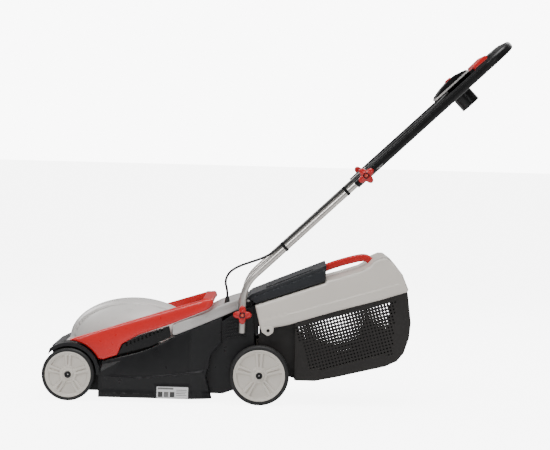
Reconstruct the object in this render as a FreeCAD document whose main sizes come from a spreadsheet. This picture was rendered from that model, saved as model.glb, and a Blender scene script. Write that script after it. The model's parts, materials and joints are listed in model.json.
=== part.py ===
"""Electric rotary push mower with a folding handle and a rear grass box.

Millimetres, +Z up. The nose points to -Y, the handle and the grass box to +Y, and +X is the mower's left.
Positions are worked out from the front axle and the ground, and every node is then shifted along Y by
half of the overall length, so that the origin is at the middle of the object's footprint.
"""
import FreeCAD, Part
import math
import os

import Sketcher

Vector = FreeCAD.Vector
doc = FreeCAD.newDocument("mower")
sheet = doc.addObject("Spreadsheet::Sheet", "Sizes")

# ----------------------------------------------------------------------------------------------------
# Driving dimensions: alias, value, meaning. Y is counted from the front axle and Z from the ground.
# ----------------------------------------------------------------------------------------------------
SIZES = [
    # overall
    ("wheelbase", 544, "front axle to rear axle"),
    ("shell_wall", 3.5, "wall of the moulded deck"),
    ("cover_wall", 3, "wall of the covers, the flap and the lid"),
    ("basket_wall", 2.5, "wall of the grass basket"),
    ("move_gap", 3, "gap between pieces that move past each other"),
    ("seat_gap", 0.5, "gap between pieces that sit side by side"),
    ("run_gap", 0.05, "radial clearance of a shaft in its bore"),
    # wheels and axles
    ("front_tyre", 75, "front tyre outer radius"),
    ("front_disc", 65, "front wheel disc outer radius"),
    ("rear_tyre", 85, "rear tyre outer radius"),
    ("rear_disc", 73.5, "rear wheel disc outer radius"),
    ("wheel_face", 205, "outer face of the wheels from the middle plane"),
    ("wheel_width", 42, "tread width"),
    ("hub_radius", 14, "hub outer radius"),
    ("rim_wall", 7, "rim thickness"),
    ("web_wall", 9, "thickness of the wheel web"),
    ("web_inset", 4, "web face behind the rim face"),
    ("panel_deep", 4, "depth of the five recessed panels of a wheel"),
    ("hub_cap_radius", 9.5, "hub cap outer radius"),
    ("hub_cap_high", 5, "hub cap height"),
    ("axle_radius", 6, "axle rod radius"),
    ("axle_end", 2, "axle end below the hub cap"),
    ("cut_travel", 36, "travel of each axle from the lowest to the highest cut"),
    ("slot_gap", 0.3, "clearance of the axle in its height slot"),
    # deck
    ("tub_half", 145, "half width of the deck tub"),
    ("skirt_half", 190, "half width of the skirt between the wheels"),
    ("fender_half", 197, "half width of the front fenders"),
    ("fender_gap", 5, "gap from the tyre to the fender"),
    ("fender_wall", 10, "fender thickness in side view"),
    ("nose_front", -52, "front of the nose"),
    ("nose_high", 152, "height of the nose edge"),
    ("tub_high", 165, "height of the tub rim that carries the hood"),
    ("tub_low", 25, "bottom edge of the tub"),
    ("skirt_low", 11, "bottom edge of the side skirt"),
    ("skirt_front", 86, "front edge of the side skirt"),
    ("skirt_rear", 409, "rear bottom corner of the side skirt"),
    ("roof_low", 95, "underside of the blade chamber roof"),
    ("chamber_radius", 172, "blade chamber inner radius"),
    ("tunnel_half", 115, "half width of the grass tunnel"),
    ("rear_face", 531, "rear end of the tunnel"),
    ("plate_end", 560, "rear end of the axle plates"),
    ("plate_low", 36, "bottom of the axle plates"),
    ("louvre_pitch", 10, "distance between louvres"),
    ("louvre_long", 62, "length of a louvre"),
    ("louvre_high", 3.2, "height of a louvre"),
    ("louvre_deep", 1.2, "depth of a louvre"),
    ("louvre_tilt", 11, "slope of the louvres"),
    # motor hood, covers, grilles
    ("motor_y", 175, "motor axis behind the front axle"),
    ("hood_long", 189, "half length of the hood dome"),
    ("hood_half", 150, "half width of the hood dome"),
    ("hood_high", 119, "height of the hood dome above the tub rim"),
    ("flange_half", 141, "half width of the hood flange"),
    ("arm_inner", 152, "inner face of the red cover arms"),
    ("arm_outer", 184, "outer face of the red cover arms"),
    ("bar_front", 376, "front of the carry bar"),
    ("bar_rear", 408, "rear of the carry bar"),
    ("bar_low", 281, "underside of the carry bar"),
    ("bar_high", 299, "top of the carry bar"),
    ("saddle_front_half", 190, "half width of the rear cover at its front"),
    ("saddle_rear_half", 146, "half width of the rear cover at its rear"),
    ("narrow_start", 346, "where the skirt and the rear cover start to narrow"),
    ("narrow_end", 474, "where the skirt and the rear cover are narrowest"),
    ("grille_inner", 175, "inner face of the vent grilles"),
    ("grille_outer", 181, "outer face of the vent grilles"),
    ("rib_pitch", 11, "distance between the slots of a grille"),
    ("rib_slot", 5, "width of a slot of a grille"),
    ("label_long", 92, "length of the rating label"),
    ("label_high", 34, "height of the rating label"),
    ("label_thick", 0.4, "thickness of the rating label"),
    # motor and blade
    ("can_radius", 52, "motor can outer radius"),
    ("can_high", 106, "motor can height"),
    ("can_wall", 3, "motor can wall"),
    ("shaft_radius", 6, "motor shaft radius"),
    ("bearing_radius", 14, "bearing outer radius"),
    ("bearing_wide", 9, "bearing width"),
    ("stack_low", 125, "bottom of the lamination stack"),
    ("stack_high", 178, "top of the lamination stack"),
    ("stator_inner", 27.5, "stator bore radius"),
    ("rotor_radius", 27, "rotor core outer radius"),
    ("fan_radius", 42, "cooling fan radius"),
    ("fan_low", 182, "underside of the cooling fan"),
    ("capacitor_radius", 17, "run capacitor radius"),
    ("capacitor_high", 48, "run capacitor height"),
    ("capacitor_y", 88, "run capacitor axis behind the front axle"),
    ("holder_radius", 20, "blade holder hub radius"),
    ("blade_low", 34, "underside of the blade"),
    ("blade_thick", 3, "blade thickness"),
    ("blade_long", 330, "blade tip to tip"),
    ("blade_wide", 46, "blade width"),
    ("blade_bolt_radius", 4, "blade bolt radius"),
    # handle
    ("tube_x", 158, "handle tube from the middle plane"),
    ("tube_radius", 9.5, "handle tube outer radius"),
    ("tube_bore", 8.2, "handle tube inner radius"),
    ("pivot_y", 491.6, "lower handle pivot behind the front axle"),
    ("pivot_z", 254.6, "lower handle pivot above the ground"),
    ("tube_stub", 53, "tube below the lower pivot"),
    ("joint_y", 832.5, "upper handle pivot behind the front axle"),
    ("joint_z", 661.6, "upper handle pivot above the ground"),
    ("handle_angle", 43.6, "slope of the straight handle above the horizontal"),
    ("tube_bend", 108, "bend radius of the lower tube"),
    ("tube_end", 21, "tube beyond the upper pivot"),
    ("bolt_radius", 4, "handle bolt radius"),
    ("head_radius", 7, "handle bolt head radius"),
    ("head_high", 5, "handle bolt head height"),
    ("knob_high", 18, "star knob height"),
    ("knob_core", 14, "star knob core radius"),
    ("knob_reach", 27, "star knob lobe tip radius"),
    ("knob_lobe", 8, "star knob lobe half width"),
    ("arm_thick", 22, "width of an arm of the upper handle"),
    ("arm_deep", 26, "depth of the upper handle"),
    ("arm_tail", 38, "upper handle below its pivot"),
    ("grip_reach", 562, "upper pivot to the end of the grip"),
    ("grip_thick", 31, "grip bar thickness in plan"),
    ("grip_bend", 85, "outer corner radius of the grip loop"),
    ("grip_round", 10.5, "edge rounding of the upper handle"),
    # switch console, in the plane of the upper handle: along it from the pivot, and above its middle
    ("console_start", 300, "start of the switch console"),
    ("console_end", 424, "end of the switch console"),
    ("console_half", 60, "half width of the switch console"),
    ("console_low", -17, "underside of the switch console"),
    ("console_seam", 20, "seam between the console and its cover"),
    ("console_crown", 40, "highest point of the console cover"),
    ("bridge_start", 326, "start of the bridge that carries the console"),
    ("bridge_end", 398, "end of the bridge that carries the console"),
    ("bridge_half_deep", 9, "half depth of the bridge"),
    ("inlet_along", 369, "axis of the plug shroud"),
    ("inlet_outer", 30, "plug shroud outer radius"),
    ("inlet_mouth", 26, "plug shroud bore radius at the mouth"),
    ("inlet_seat", 23.5, "plug shroud bore radius at the pins"),
    ("inlet_long", 42, "plug shroud length"),
    ("mouth_deep", 22, "depth of the plug shroud mouth"),
    ("pin_radius", 2.4, "plug pin radius"),
    ("pin_long", 15, "plug pin length"),
    ("pin_spread", 8, "plug pins from the shroud axis"),
    ("button_along", 366, "axis of the safety button"),
    ("button_radius", 11, "safety button radius"),
    ("button_proud", 3, "safety button above the cover"),
    ("button_long", 17, "safety button length"),
    ("lever_pivot_along", 434, "lever pivot along the handle"),
    ("lever_pivot_up", 13, "lever pivot above the handle's middle"),
    ("lever_pin", 2.5, "lever pin radius"),
    ("lever_hub", 6, "lever hub radius"),
    ("lever_reach", 488, "rear edge of the lever"),
    ("lever_half", 104, "half width of the lever paddles"),
    ("lever_thick", 11, "thickness of the lever"),
    # flap and grass box
    ("hinge_y", 507, "flap hinge behind the front axle"),
    ("hinge_z", 293, "flap hinge above the ground"),
    ("hinge_pin", 3, "flap hinge pin radius"),
    ("hinge_barrel", 6.5, "flap hinge barrel radius"),
    ("ear_inner", 100, "inner face of the flap hinge ears"),
    ("ear_thick", 8, "thickness of the flap hinge ears"),
    ("flap_half", 143, "half width of the flap"),
    ("flap_rear", 728, "rear edge of the flap"),
    ("lid_half", 170, "half width of the grass box lid"),
    ("lid_front", 527, "front edge of the lid"),
    ("lid_front_z", 281, "height of the lid's front edge"),
    ("lid_tilt", 19.2, "slope of the lid under the flap"),
    ("lid_rear", 964, "rear of the lid"),
    ("lid_step", 731, "end of the lid's stretch under the flap"),
    ("basket_rear", 973, "rear of the basket"),
    ("basket_low", 70, "underside of the basket"),
    ("neck_front", 540, "front of the basket neck"),
    ("neck_half", 139, "half width of the basket neck"),
    ("neck_end", 645, "end of the basket neck"),
    ("carry_half", 17, "half width of the grass box handle"),
    ("notch_gap", 3, "gap from the grass box handle to the notch in the flap"),
    # cable
    ("cable_radius", 3.5, "cable radius"),
    ("cable_gap", 0.6, "gap from the cable to the tube"),
    ("clip_from_joint", 318, "lower cable clip below the upper pivot"),
    ("clip_near_joint", 75, "upper cable clip below the upper pivot"),
    ("clip_wide", 8, "cable clip width"),
    ("clip_wall", 1.6, "cable clip wall"),
    ("elbow_half", 45, "free cable each side of the upper pivot"),
    ("gland_x", 118, "cable gland from the middle plane"),
    ("gland_y", 446, "cable gland behind the front axle"),
    ("gland_high", 23, "cable gland height"),
    ("gland_radius", 9, "cable gland base radius"),
]


class Num:
    """A number together with the spreadsheet formula that it comes from."""

    def __init__(self, value, text):
        self.value = value
        self.text = text

    def __add__(self, other):
        other = num(other)
        return Num(self.value + other.value, f"({self.text} + {other.text})")

    def __radd__(self, other):
        return num(other) + self

    def __sub__(self, other):
        other = num(other)
        return Num(self.value - other.value, f"({self.text} - {other.text})")

    def __rsub__(self, other):
        return num(other) - self

    def __mul__(self, other):
        other = num(other)
        return Num(self.value * other.value, f"({self.text} * {other.text})")

    def __rmul__(self, other):
        return num(other) * self

    def __truediv__(self, other):
        other = num(other)
        return Num(self.value / other.value, f"({self.text} / {other.text})")

    def __neg__(self):
        return num(0) - self


def num(value):
    """Wrap a plain number; a Num passes through."""
    if isinstance(value, Num):
        return value
    return Num(float(value), f"{float(value):.6g}")


def cosine(angle):
    return Num(math.cos(math.radians(angle.value)), f"cos({angle.text} * 1 deg)")


def sine(angle):
    return Num(math.sin(math.radians(angle.value)), f"sin({angle.text} * 1 deg)")


def tangent(angle):
    return Num(math.tan(math.radians(angle.value)), f"tan({angle.text} * 1 deg)")


class Sizes:
    """The spreadsheet's cells as attributes."""


def fill_sheet():
    sizes = Sizes()
    for row, (alias, value, meaning) in enumerate(SIZES, start=1):
        sheet.set(f"A{row}", meaning)
        sheet.set(f"B{row}", str(value))
        sheet.setAlias(f"B{row}", alias)
        setattr(sizes, alias, Num(float(value), f"Sizes.{alias}"))
    doc.recompute()
    return sizes


s = fill_sheet()

# ----------------------------------------------------------------------------------------------------
# Places that several pieces share
# ----------------------------------------------------------------------------------------------------
handle_cos = cosine(s.handle_angle)
handle_sin = sine(s.handle_angle)
half_deep = s.arm_deep / 2
# the grip's rearmost point, with its rounded edge
overall_rear = (s.joint_y + (s.grip_reach - s.grip_round) * handle_cos
                + (half_deep - s.grip_round) * handle_sin + s.grip_round)
shift_y = (s.front_tyre - overall_rear) / 2
front_axle_z = s.front_tyre
rear_axle_z = s.rear_tyre
roof_high = s.roof_low + s.shell_wall + 0.5
fender_inner = s.front_tyre + s.fender_gap
fender_outer = fender_inner + s.fender_wall
arm_inner_x = s.tube_x + s.tube_radius + s.seat_gap
arm_outer_x = arm_inner_x + s.arm_thick
knob_lower_x = s.tube_x + s.tube_radius
NODES = []


# ----------------------------------------------------------------------------------------------------
# Helpers
# ----------------------------------------------------------------------------------------------------
def bind(thing, path, value):
    """Tie one property to its formula."""
    thing.setExpression(path, num(value).text)


def bend_centre(start, end, radius):
    """Centre of the arc from start to end, on the left for a positive radius."""
    half_x = (end[0] - start[0]) / 2
    half_y = (end[1] - start[1]) / 2
    half = math.hypot(half_x, half_y)
    rise = math.sqrt(max(radius * radius - half * half, 0.0)) * math.copysign(1, radius)
    return (start[0] + half_x - half_y / half * rise, start[1] + half_y + half_x / half * rise)


def draw(sketch, points, bends=None, is_open=False):
    """Constrained outline. bends gives the signed radius of the stretches that are arcs."""
    bends = bends or {}
    flat = [(num(x).value, num(y).value) for x, y in points]
    count = len(points)
    stretches = count - 1 if is_open else count
    first = sketch.GeometryCount
    ends = []
    for index in range(stretches):
        start = flat[index]
        end = flat[(index + 1) % count]
        if index in bends:
            radius = num(bends[index]).value
            centre = bend_centre(start, end, radius)
            angles = [math.atan2(point[1] - centre[1], point[0] - centre[0]) for point in (start, end)]
            if radius < 0:
                angles.reverse()
            circle = Part.Circle(Vector(centre[0], centre[1], 0), Vector(0, 0, 1), abs(radius))
            sketch.addGeometry(Part.ArcOfCircle(circle, angles[0], angles[1]), False)
            ends.append((1, 2) if radius > 0 else (2, 1))
        else:
            sketch.addGeometry(Part.LineSegment(Vector(start[0], start[1], 0), Vector(end[0], end[1], 0)), False)
            ends.append((1, 2))
    for index in range(stretches - 1 if is_open else stretches):
        following = (index + 1) % count
        sketch.addConstraint(Sketcher.Constraint("Coincident", first + index, ends[index][1],
                                                 first + following, ends[following][0]))
    for index, point in enumerate(points):
        piece = min(index, stretches - 1)
        corner = ends[piece][0] if piece == index else ends[piece][1]
        for kind, value in (("DistanceX", num(point[0])), ("DistanceY", num(point[1]))):
            place_number = sketch.addConstraint(
                Sketcher.Constraint(kind, -1, 1, first + piece, corner, value.value))
            bind(sketch, f"Constraints[{place_number}]", value)
    for index, radius in bends.items():
        size = num(radius)
        if size.value < 0:
            size = -size
        number = sketch.addConstraint(Sketcher.Constraint("Radius", first + index, size.value))
        bind(sketch, f"Constraints[{number}]", size)


def draw_circle(sketch, centre, radius):
    """Constrained circle."""
    centre = (num(centre[0]), num(centre[1]))
    radius = num(radius)
    middle = Vector(centre[0].value, centre[1].value, 0)
    index = sketch.addGeometry(Part.Circle(middle, Vector(0, 0, 1), radius.value), False)
    for kind, value in (("DistanceX", centre[0]), ("DistanceY", centre[1])):
        number = sketch.addConstraint(Sketcher.Constraint(kind, -1, 1, index, 3, value.value))
        bind(sketch, f"Constraints[{number}]", value)
    number = sketch.addConstraint(Sketcher.Constraint("Radius", index, radius.value))
    bind(sketch, f"Constraints[{number}]", radius)


TURNS = {
    "side": FreeCAD.Rotation(Vector(1, 1, 1), 120),
    "plan": FreeCAD.Rotation(),
}
ALONG = {"side": Vector(1, 0, 0), "plan": Vector(0, 0, 1)}


def extrude(name, view, points, low, high, bends=None):
    """Solid between two planes: a side outline (Y, Z) along X, or a plan outline (X, Y) along Z."""
    sketch = doc.addObject("Sketcher::SketchObject", name + "_outline")
    sketch.Placement = FreeCAD.Placement(Vector(0, 0, 0), TURNS[view])
    draw(sketch, points, bends)
    bind(sketch, "Placement.Base." + ("x" if view == "side" else "z"), low)
    solid = doc.addObject("Part::Extrusion", name)
    solid.Base = sketch
    solid.DirMode = "Custom"
    solid.Dir = ALONG[view]
    solid.Solid = True
    bind(solid, "LengthFwd", num(high) - low)
    return solid


def slab(name, points, low, high, bends=None):
    return extrude(name, "side", points, low, high, bends)


def block(name, low, high):
    """Box between two corners."""
    solid = doc.addObject("Part::Box", name)
    for axis, length, start, end in zip("xyz", ("Length", "Width", "Height"), low, high):
        bind(solid, length, num(end) - start)
        bind(solid, "Placement.Base." + axis, start)
    return solid


CYLINDER_TURNS = {
    "x": FreeCAD.Rotation(Vector(0, 1, 0), 90),
    "z": FreeCAD.Rotation(),
}


def rod(name, axis, centre, radius, low, high):
    """Cylinder along X or Z; centre gives its two other coordinates."""
    solid = doc.addObject("Part::Cylinder", name)
    solid.Placement = FreeCAD.Placement(Vector(0, 0, 0), CYLINDER_TURNS[axis])
    bind(solid, "Radius", radius)
    bind(solid, "Height", num(high) - low)
    places = (low, centre[0], centre[1]) if axis == "x" else (centre[0], centre[1], low)
    for letter, value in zip("xyz", places):
        bind(solid, "Placement.Base." + letter, value)
    return solid


def fuse(name, solids):
    result = doc.addObject("Part::MultiFuse", name)
    result.Shapes = solids
    return result


def cut(name, base, tools):
    """Base without the tools."""
    result = doc.addObject("Part::Cut", name)
    result.Base = base
    result.Tool = tools[0] if len(tools) == 1 else fuse(name + "_tools", tools)
    return result


def group(name, solids):
    """Several separate solids in one node."""
    result = doc.addObject("Part::Compound", name)
    result.Links = solids
    return result


def node(solid, label, y=0, z=0, x=0, tilt=None):
    """Name a finished sub-part and put it in the row's frame."""
    solid.Label = label
    if tilt is not None:
        solid.Placement = FreeCAD.Placement(Vector(0, 0, 0), FreeCAD.Rotation(Vector(1, 0, 0), tilt.value))
        bind(solid, "Placement.Rotation.Angle", tilt)
    bind(solid, "Placement.Base.x", x)
    bind(solid, "Placement.Base.y", num(y) + shift_y)
    bind(solid, "Placement.Base.z", z)
    NODES.append(solid)
    return solid


def on_handle(solid, label):
    """Sub-part drawn in the upper handle's own frame: pivot at the origin, handle along +Y."""
    return node(solid, label, y=s.joint_y, z=s.joint_z, tilt=s.handle_angle)


def new_body(name):
    return doc.addObject("PartDesign::Body", name)


def sketch_on(body, role, name):
    """Sketch on one of the body's own origin planes."""
    sketch = body.newObject("Sketcher::SketchObject", name)
    plane = [feature for feature in body.Origin.OriginFeatures if feature.Role == role][0]
    sketch.AttachmentSupport = [(plane, "")]
    sketch.MapMode = "FlatFace"
    return sketch


def revolve(body, name, points, axis, bends=None, role="XZ_Plane"):
    """Full turn of an outline about the sketch's horizontal or vertical axis."""
    sketch = sketch_on(body, role, name + "_outline")
    draw(sketch, points, bends)
    feature = body.newObject("PartDesign::Revolution", name)
    feature.Profile = sketch
    feature.ReferenceAxis = (sketch, [axis])
    feature.Angle = 360
    return feature


def pad(body, name, sketch, length, symmetric=False):
    feature = body.newObject("PartDesign::Pad", name)
    feature.Profile = sketch
    feature.SideType = "Symmetric" if symmetric else "One side"
    bind(feature, "Length", length)
    return feature


def pocket(body, name, sketch, length, symmetric=False, reverse=False):
    feature = body.newObject("PartDesign::Pocket", name)
    feature.Profile = sketch
    feature.SideType = "Symmetric" if symmetric else "One side"
    feature.Reversed = reverse
    bind(feature, "Length", length)
    return feature


def polar(body, name, feature, axis_role, count):
    """Repeat a feature round one of the body's own axes."""
    axis = [item for item in body.Origin.OriginFeatures if item.Role == axis_role][0]
    pattern = body.newObject("PartDesign::PolarPattern", name)
    pattern.Originals = [feature]
    pattern.Axis = (axis, [""])
    pattern.Angle = 360
    pattern.Occurrences = count
    body.Tip = pattern
    return pattern


def mirrored(low, high, side):
    """The X range of a piece on the left (+1) or the right (-1)."""
    if side > 0:
        return num(low), num(high)
    return -num(high), -num(low)


def both_sides(name, make):
    """The same piece on both sides: make gets a name and a side."""
    return [make(name + suffix, side) for suffix, side in (("_left", 1), ("_right", -1))]


# ----------------------------------------------------------------------------------------------------
# Wheels and axles
# ----------------------------------------------------------------------------------------------------
def wheel_disc(name, radius):
    """Disc on the X axis, inner face at 0: hub, web and rim, with five recessed panels."""
    bore = s.axle_radius + s.run_gap
    web_outer = s.wheel_width - s.web_inset
    web_inner = web_outer - s.web_wall
    rim = radius - s.rim_wall
    body = new_body(name)
    revolve(body, name + "_turned", [
        (0, bore), (s.wheel_width, bore), (s.wheel_width, s.hub_radius), (web_outer, s.hub_radius),
        (web_outer, rim), (s.wheel_width, rim), (s.wheel_width, radius), (0, radius), (0, rim),
        (web_inner, rim), (web_inner, s.hub_radius), (0, s.hub_radius)], "H_Axis")
    sketch = sketch_on(body, "YZ_Plane", name + "_panel_outline")
    bind(sketch, "AttachmentOffset.Base.z", web_outer)
    low = s.hub_radius + 5
    high = rim - 4
    draw(sketch, [(low * -0.34, low), (low * 0.34, low), (high * 0.44, high * 0.87), (high * -0.44, high * 0.87)],
         {2: high * 0.975})
    panel = pocket(body, name + "_panel", sketch, s.panel_deep)
    polar(body, name + "_panels", panel, "X_Axis", 5)
    return body


def wheel_tyre(name, inner, outer):
    """Tyre band with rounded shoulders."""
    shoulder = 5
    body = new_body(name)
    revolve(body, name + "_turned", [
        (0, inner), (s.wheel_width, inner), (s.wheel_width, outer - shoulder), (s.wheel_width - shoulder, outer),
        (shoulder, outer), (0, outer - shoulder)], "H_Axis", {2: shoulder, 4: shoulder})
    return body


def hub_cap(name):
    """Press-on cap that covers the axle's end."""
    cap_edge = 1.5
    body = new_body(name)
    revolve(body, name + "_turned", [
        (0, 0), (s.hub_cap_high, 0), (s.hub_cap_high, s.hub_cap_radius - cap_edge),
        (s.hub_cap_high - cap_edge, s.hub_cap_radius), (0, s.hub_cap_radius)], "H_Axis")
    return body


def make_wheel(end, side_name, side, axle_y, axle_z, disc, tyre):
    """One wheel: disc, tyre and cap, turned round to face outwards."""
    name = f"{end}_{side_name}"
    pieces = [
        (wheel_disc(name + "_disc_body", disc), f"{end}_wheel_{side_name}", s.wheel_face - s.wheel_width),
        (wheel_tyre(name + "_tyre_body", disc, tyre), f"{end}_tyre_{side_name}", s.wheel_face - s.wheel_width),
        (hub_cap(name + "_cap_body"), f"{end}_hub_cap_{side_name}", s.wheel_face),
    ]
    for body, label, start in pieces:
        if side < 0:
            body.Placement = FreeCAD.Placement(Vector(0, 0, 0), FreeCAD.Rotation(Vector(0, 0, 1), 180))
        node(body, label, y=axle_y, z=axle_z, x=start * side)


def make_axle(label, axle_y, axle_z):
    """Steel rod that stops just below the hub caps."""
    end = s.wheel_face - s.axle_end
    node(rod(label, "x", (axle_y, axle_z), s.axle_radius, -end, end), label, y=axle_y, z=axle_z, x=-end)


for suffix, facing in (("left", 1), ("right", -1)):
    make_wheel("front", suffix, facing, num(0), front_axle_z, s.front_disc, s.front_tyre)
    make_wheel("rear", suffix, facing, s.wheelbase, rear_axle_z, s.rear_disc, s.rear_tyre)
make_axle("front_axle", num(0), front_axle_z)
make_axle("rear_axle", s.wheelbase, rear_axle_z)


# ----------------------------------------------------------------------------------------------------
# Deck
# ----------------------------------------------------------------------------------------------------
# the line on which the hood, the skirts, the rear cover and the grilles meet
SHOULDER = [(98, 116), (185, 137), (230, 153), (275, 174), (303, 192)]
SHOULDER_REAR = (434, 247)


def axle_slot(name, axle_y, axle_z):
    """Upright slot in both side plates, in which the axle is set higher or lower."""
    radius = s.axle_radius + s.slot_gap
    low = axle_z - s.cut_travel
    width = s.tub_half + 1
    points = [
        (axle_y - radius, axle_z), (axle_y - radius, low), (axle_y, low - radius), (axle_y + radius, low),
        (axle_y + radius, axle_z), (axle_y, axle_z + radius)]
    bends = {1: radius, 2: radius, 4: radius, 5: radius}
    return slab(name, points, -width, width, bends)


def fender(name, side):
    """Ring section over a front wheel."""
    inner = fender_inner
    outer = fender_outer
    low, high = mirrored(s.tub_half - s.shell_wall, s.fender_half, side)
    front_cos = cosine(num(127))
    front_sin = sine(num(127))
    back_cos = cosine(num(137))
    back_sin = sine(num(137))
    zero = front_axle_z
    points = [
        (outer, zero), (0, zero + outer), (outer * front_cos, zero + outer * front_sin),
        (inner * back_cos, zero + inner * back_sin), (0, zero + inner), (inner, zero)]
    return slab(name, points, low, high, {0: outer, 1: outer, 3: -inner, 4: -inner})


def skirt_outline(inset):
    """Side outline of the skirt, drawn in by inset all round except at the bottom."""
    low = s.skirt_low if inset.value == 0 else num(-5)
    front = s.skirt_front + inset
    points = [(front, low), (front, 112 - inset)]
    points += [(y, z - inset) for y, z in SHOULDER]
    points += [(SHOULDER_REAR[0] - inset, SHOULDER_REAR[1] - inset), (SHOULDER_REAR[0] - inset, 172 + inset)]
    points += [(404 - inset, 137 + inset), (399 - inset, 100), (391 - inset, 76), (s.skirt_rear - inset, low)]
    return points


def plan_wedge(name, side, inset=0):
    """Corner that narrows the rear of the skirt and the rear cover towards the handle tubes."""
    margin = 30
    wide = s.saddle_front_half - inset
    narrow = s.saddle_rear_half - inset
    points = [
        (wide * side, s.narrow_start), (narrow * side, s.narrow_end), (narrow * side, 560),
        ((wide + margin) * side, 560), ((wide + margin) * side, s.narrow_start)]
    if side < 0:
        points.reverse()
    return extrude(name, "plan", points, -10, 400)


def make_deck():
    wall = s.shell_wall
    tub_inner = s.tub_half - wall
    tub = slab("deck_tub", [
        (s.nose_front, s.nose_high), (s.nose_front + 7, 60), (s.nose_front + 15, s.tub_low), (440, s.tub_low),
        (470, s.plate_low), (s.plate_end, s.plate_low), (s.plate_end, 108), (s.rear_face, 120), (520, 275),
        (478, 262), (335, 168), (308, s.tub_high), (-16, s.tub_high)], -s.tub_half, s.tub_half)
    skirts = both_sides("deck_skirt", lambda name, side: slab(
        name, skirt_outline(num(0)), *mirrored(tub_inner, s.skirt_half, side)))
    fenders = both_sides("deck_fender", fender)
    outer = fuse("deck_outer", [tub] + skirts + fenders)
    chamber = rod("deck_chamber", "z", (0, s.motor_y), s.chamber_radius, -5, s.roof_low)
    bay = block("deck_bay", (-tub_inner, -8, roof_high), (tub_inner, 304, 300))
    nose = block("deck_nose_hollow", (-tub_inner, s.nose_front + 18, -5), (tub_inner, -2, 150))
    tunnel = slab("deck_tunnel", [
        (290, 32), (345, 32), (440, 62), (s.rear_face + 1, 130), (s.rear_face + 1, 271), (478, 257.5),
        (335, 163), (312, 104), (290, s.roof_low)], -s.tunnel_half, s.tunnel_half)
    under = slab("deck_under", [
        (352, -5), (352, 28), (440, 57), (520, 116), (600, 116), (600, -5)], -tub_inner, tub_inner)
    skirt_hollows = both_sides("deck_skirt_hollow", lambda name, side: cut(
        name, slab(name + "_slab", skirt_outline(wall), *mirrored(s.tub_half, s.skirt_half - wall, side)),
        [plan_wedge(name + "_wedge", side, wall)]))
    shaft_hole = rod("deck_shaft_hole", "z", (0, s.motor_y), s.holder_radius + s.move_gap, 80, 110)
    slots = [axle_slot("deck_front_slot", num(0), front_axle_z),
             axle_slot("deck_rear_slot", s.wheelbase, rear_axle_z)]
    bolt_hole = rod("deck_bolt_holes", "x", (s.pivot_y, s.pivot_z), s.bolt_radius, -s.tub_half - 5, s.tub_half + 5)
    # hollow between the tunnel's walls and the tub's side walls, which also holds the bolt heads
    side_hollows = both_sides("deck_side_hollow", lambda name, side: slab(name, [
        (352, -5), (352, 174), (478, 258), (514, 269.5), (523, 116), (523, -5)],
        *mirrored(s.tunnel_half + wall, tub_inner, side)))
    tools = [chamber, bay, nose, tunnel, under, shaft_hole, bolt_hole] + skirt_hollows + slots
    tools += side_hollows + both_sides("deck_wedge", plan_wedge)
    for index in range(6):
        for side in (1, -1):
            low, high = mirrored(s.tub_half - s.louvre_deep, s.tub_half + 2, side)
            groove = block(f"deck_louvre_{index}_{side + 1}", (low, 440, 184 + s.louvre_pitch * index),
                           (high, 440 + s.louvre_long, 184 + s.louvre_pitch * index + s.louvre_high))
            groove.Placement.Rotation = FreeCAD.Rotation(Vector(1, 0, 0), s.louvre_tilt.value)
            bind(groove, "Placement.Rotation.Angle", s.louvre_tilt)
            tools.append(groove)
    hollow = cut("deck_hollow", outer, tools)
    ears = both_sides("deck_ear", lambda name, side: slab(name, [
        (s.hinge_y - 7, 266), (s.hinge_y + 7, 266), (s.hinge_y + 7, s.hinge_z), (s.hinge_y, s.hinge_z + 7),
        (s.hinge_y - 7, s.hinge_z)], *mirrored(s.ear_inner, s.ear_inner + s.ear_thick, side), {2: 7, 3: 7}))
    pin_hole = rod("deck_pin_hole", "x", (s.hinge_y, s.hinge_z), s.hinge_pin, -s.flap_half, s.flap_half)
    deck = cut("deck_shell", fuse("deck_with_ears", [hollow] + ears), [pin_hole])
    node(deck, "deck_shell")


make_deck()


# ----------------------------------------------------------------------------------------------------
# Hood, red cover, rear cover, grilles, label
# ----------------------------------------------------------------------------------------------------
DOME_STEPS = (0, 15, 30, 45, 58, 70, 82)


def dome(name, inset):
    """Dome of the hood above the tub's rim: a loft of level ellipses, from the rim to the top."""
    sections = []
    for index, step in enumerate(DOME_STEPS):
        angle = num(step)
        ellipse = doc.addObject("Part::Ellipse", f"{name}_level_{index}")
        ellipse.Placement = FreeCAD.Placement(Vector(0, 0, 0), FreeCAD.Rotation(Vector(0, 0, 1), 90))
        bind(ellipse, "MajorRadius", (s.hood_long - inset) * cosine(angle))
        bind(ellipse, "MinorRadius", (s.hood_half - inset) * cosine(angle))
        bind(ellipse, "Placement.Base.y", s.motor_y)
        bind(ellipse, "Placement.Base.z", s.tub_high + (s.hood_high - inset) * sine(angle))
        sections.append(ellipse)
    solid = doc.addObject("Part::Loft", name)
    solid.Sections = sections
    solid.Solid = True
    return solid


def make_hood():
    rim = s.tub_high
    inside = dome("hood_inside", s.cover_wall)
    shell = cut("hood_shell", dome("hood_dome", num(0)), [inside])
    plate = block("hood_plate", (-s.flange_half, -12, rim), (s.flange_half, 306, rim + s.cover_wall))
    flange = cut("hood_flange", plate, [inside])
    # the deck rises into the rear of the dome
    ramp = slab("hood_ramp", [(306.5, 100), (479, 100), (479, 263), (335, 168.8), (308, 165.8), (306.5, 165.5)],
                -s.hood_half - 1, s.hood_half + 1)
    node(cut("motor_hood", fuse("hood_with_flange", [shell, flange]), [ramp]), "motor_hood")


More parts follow.
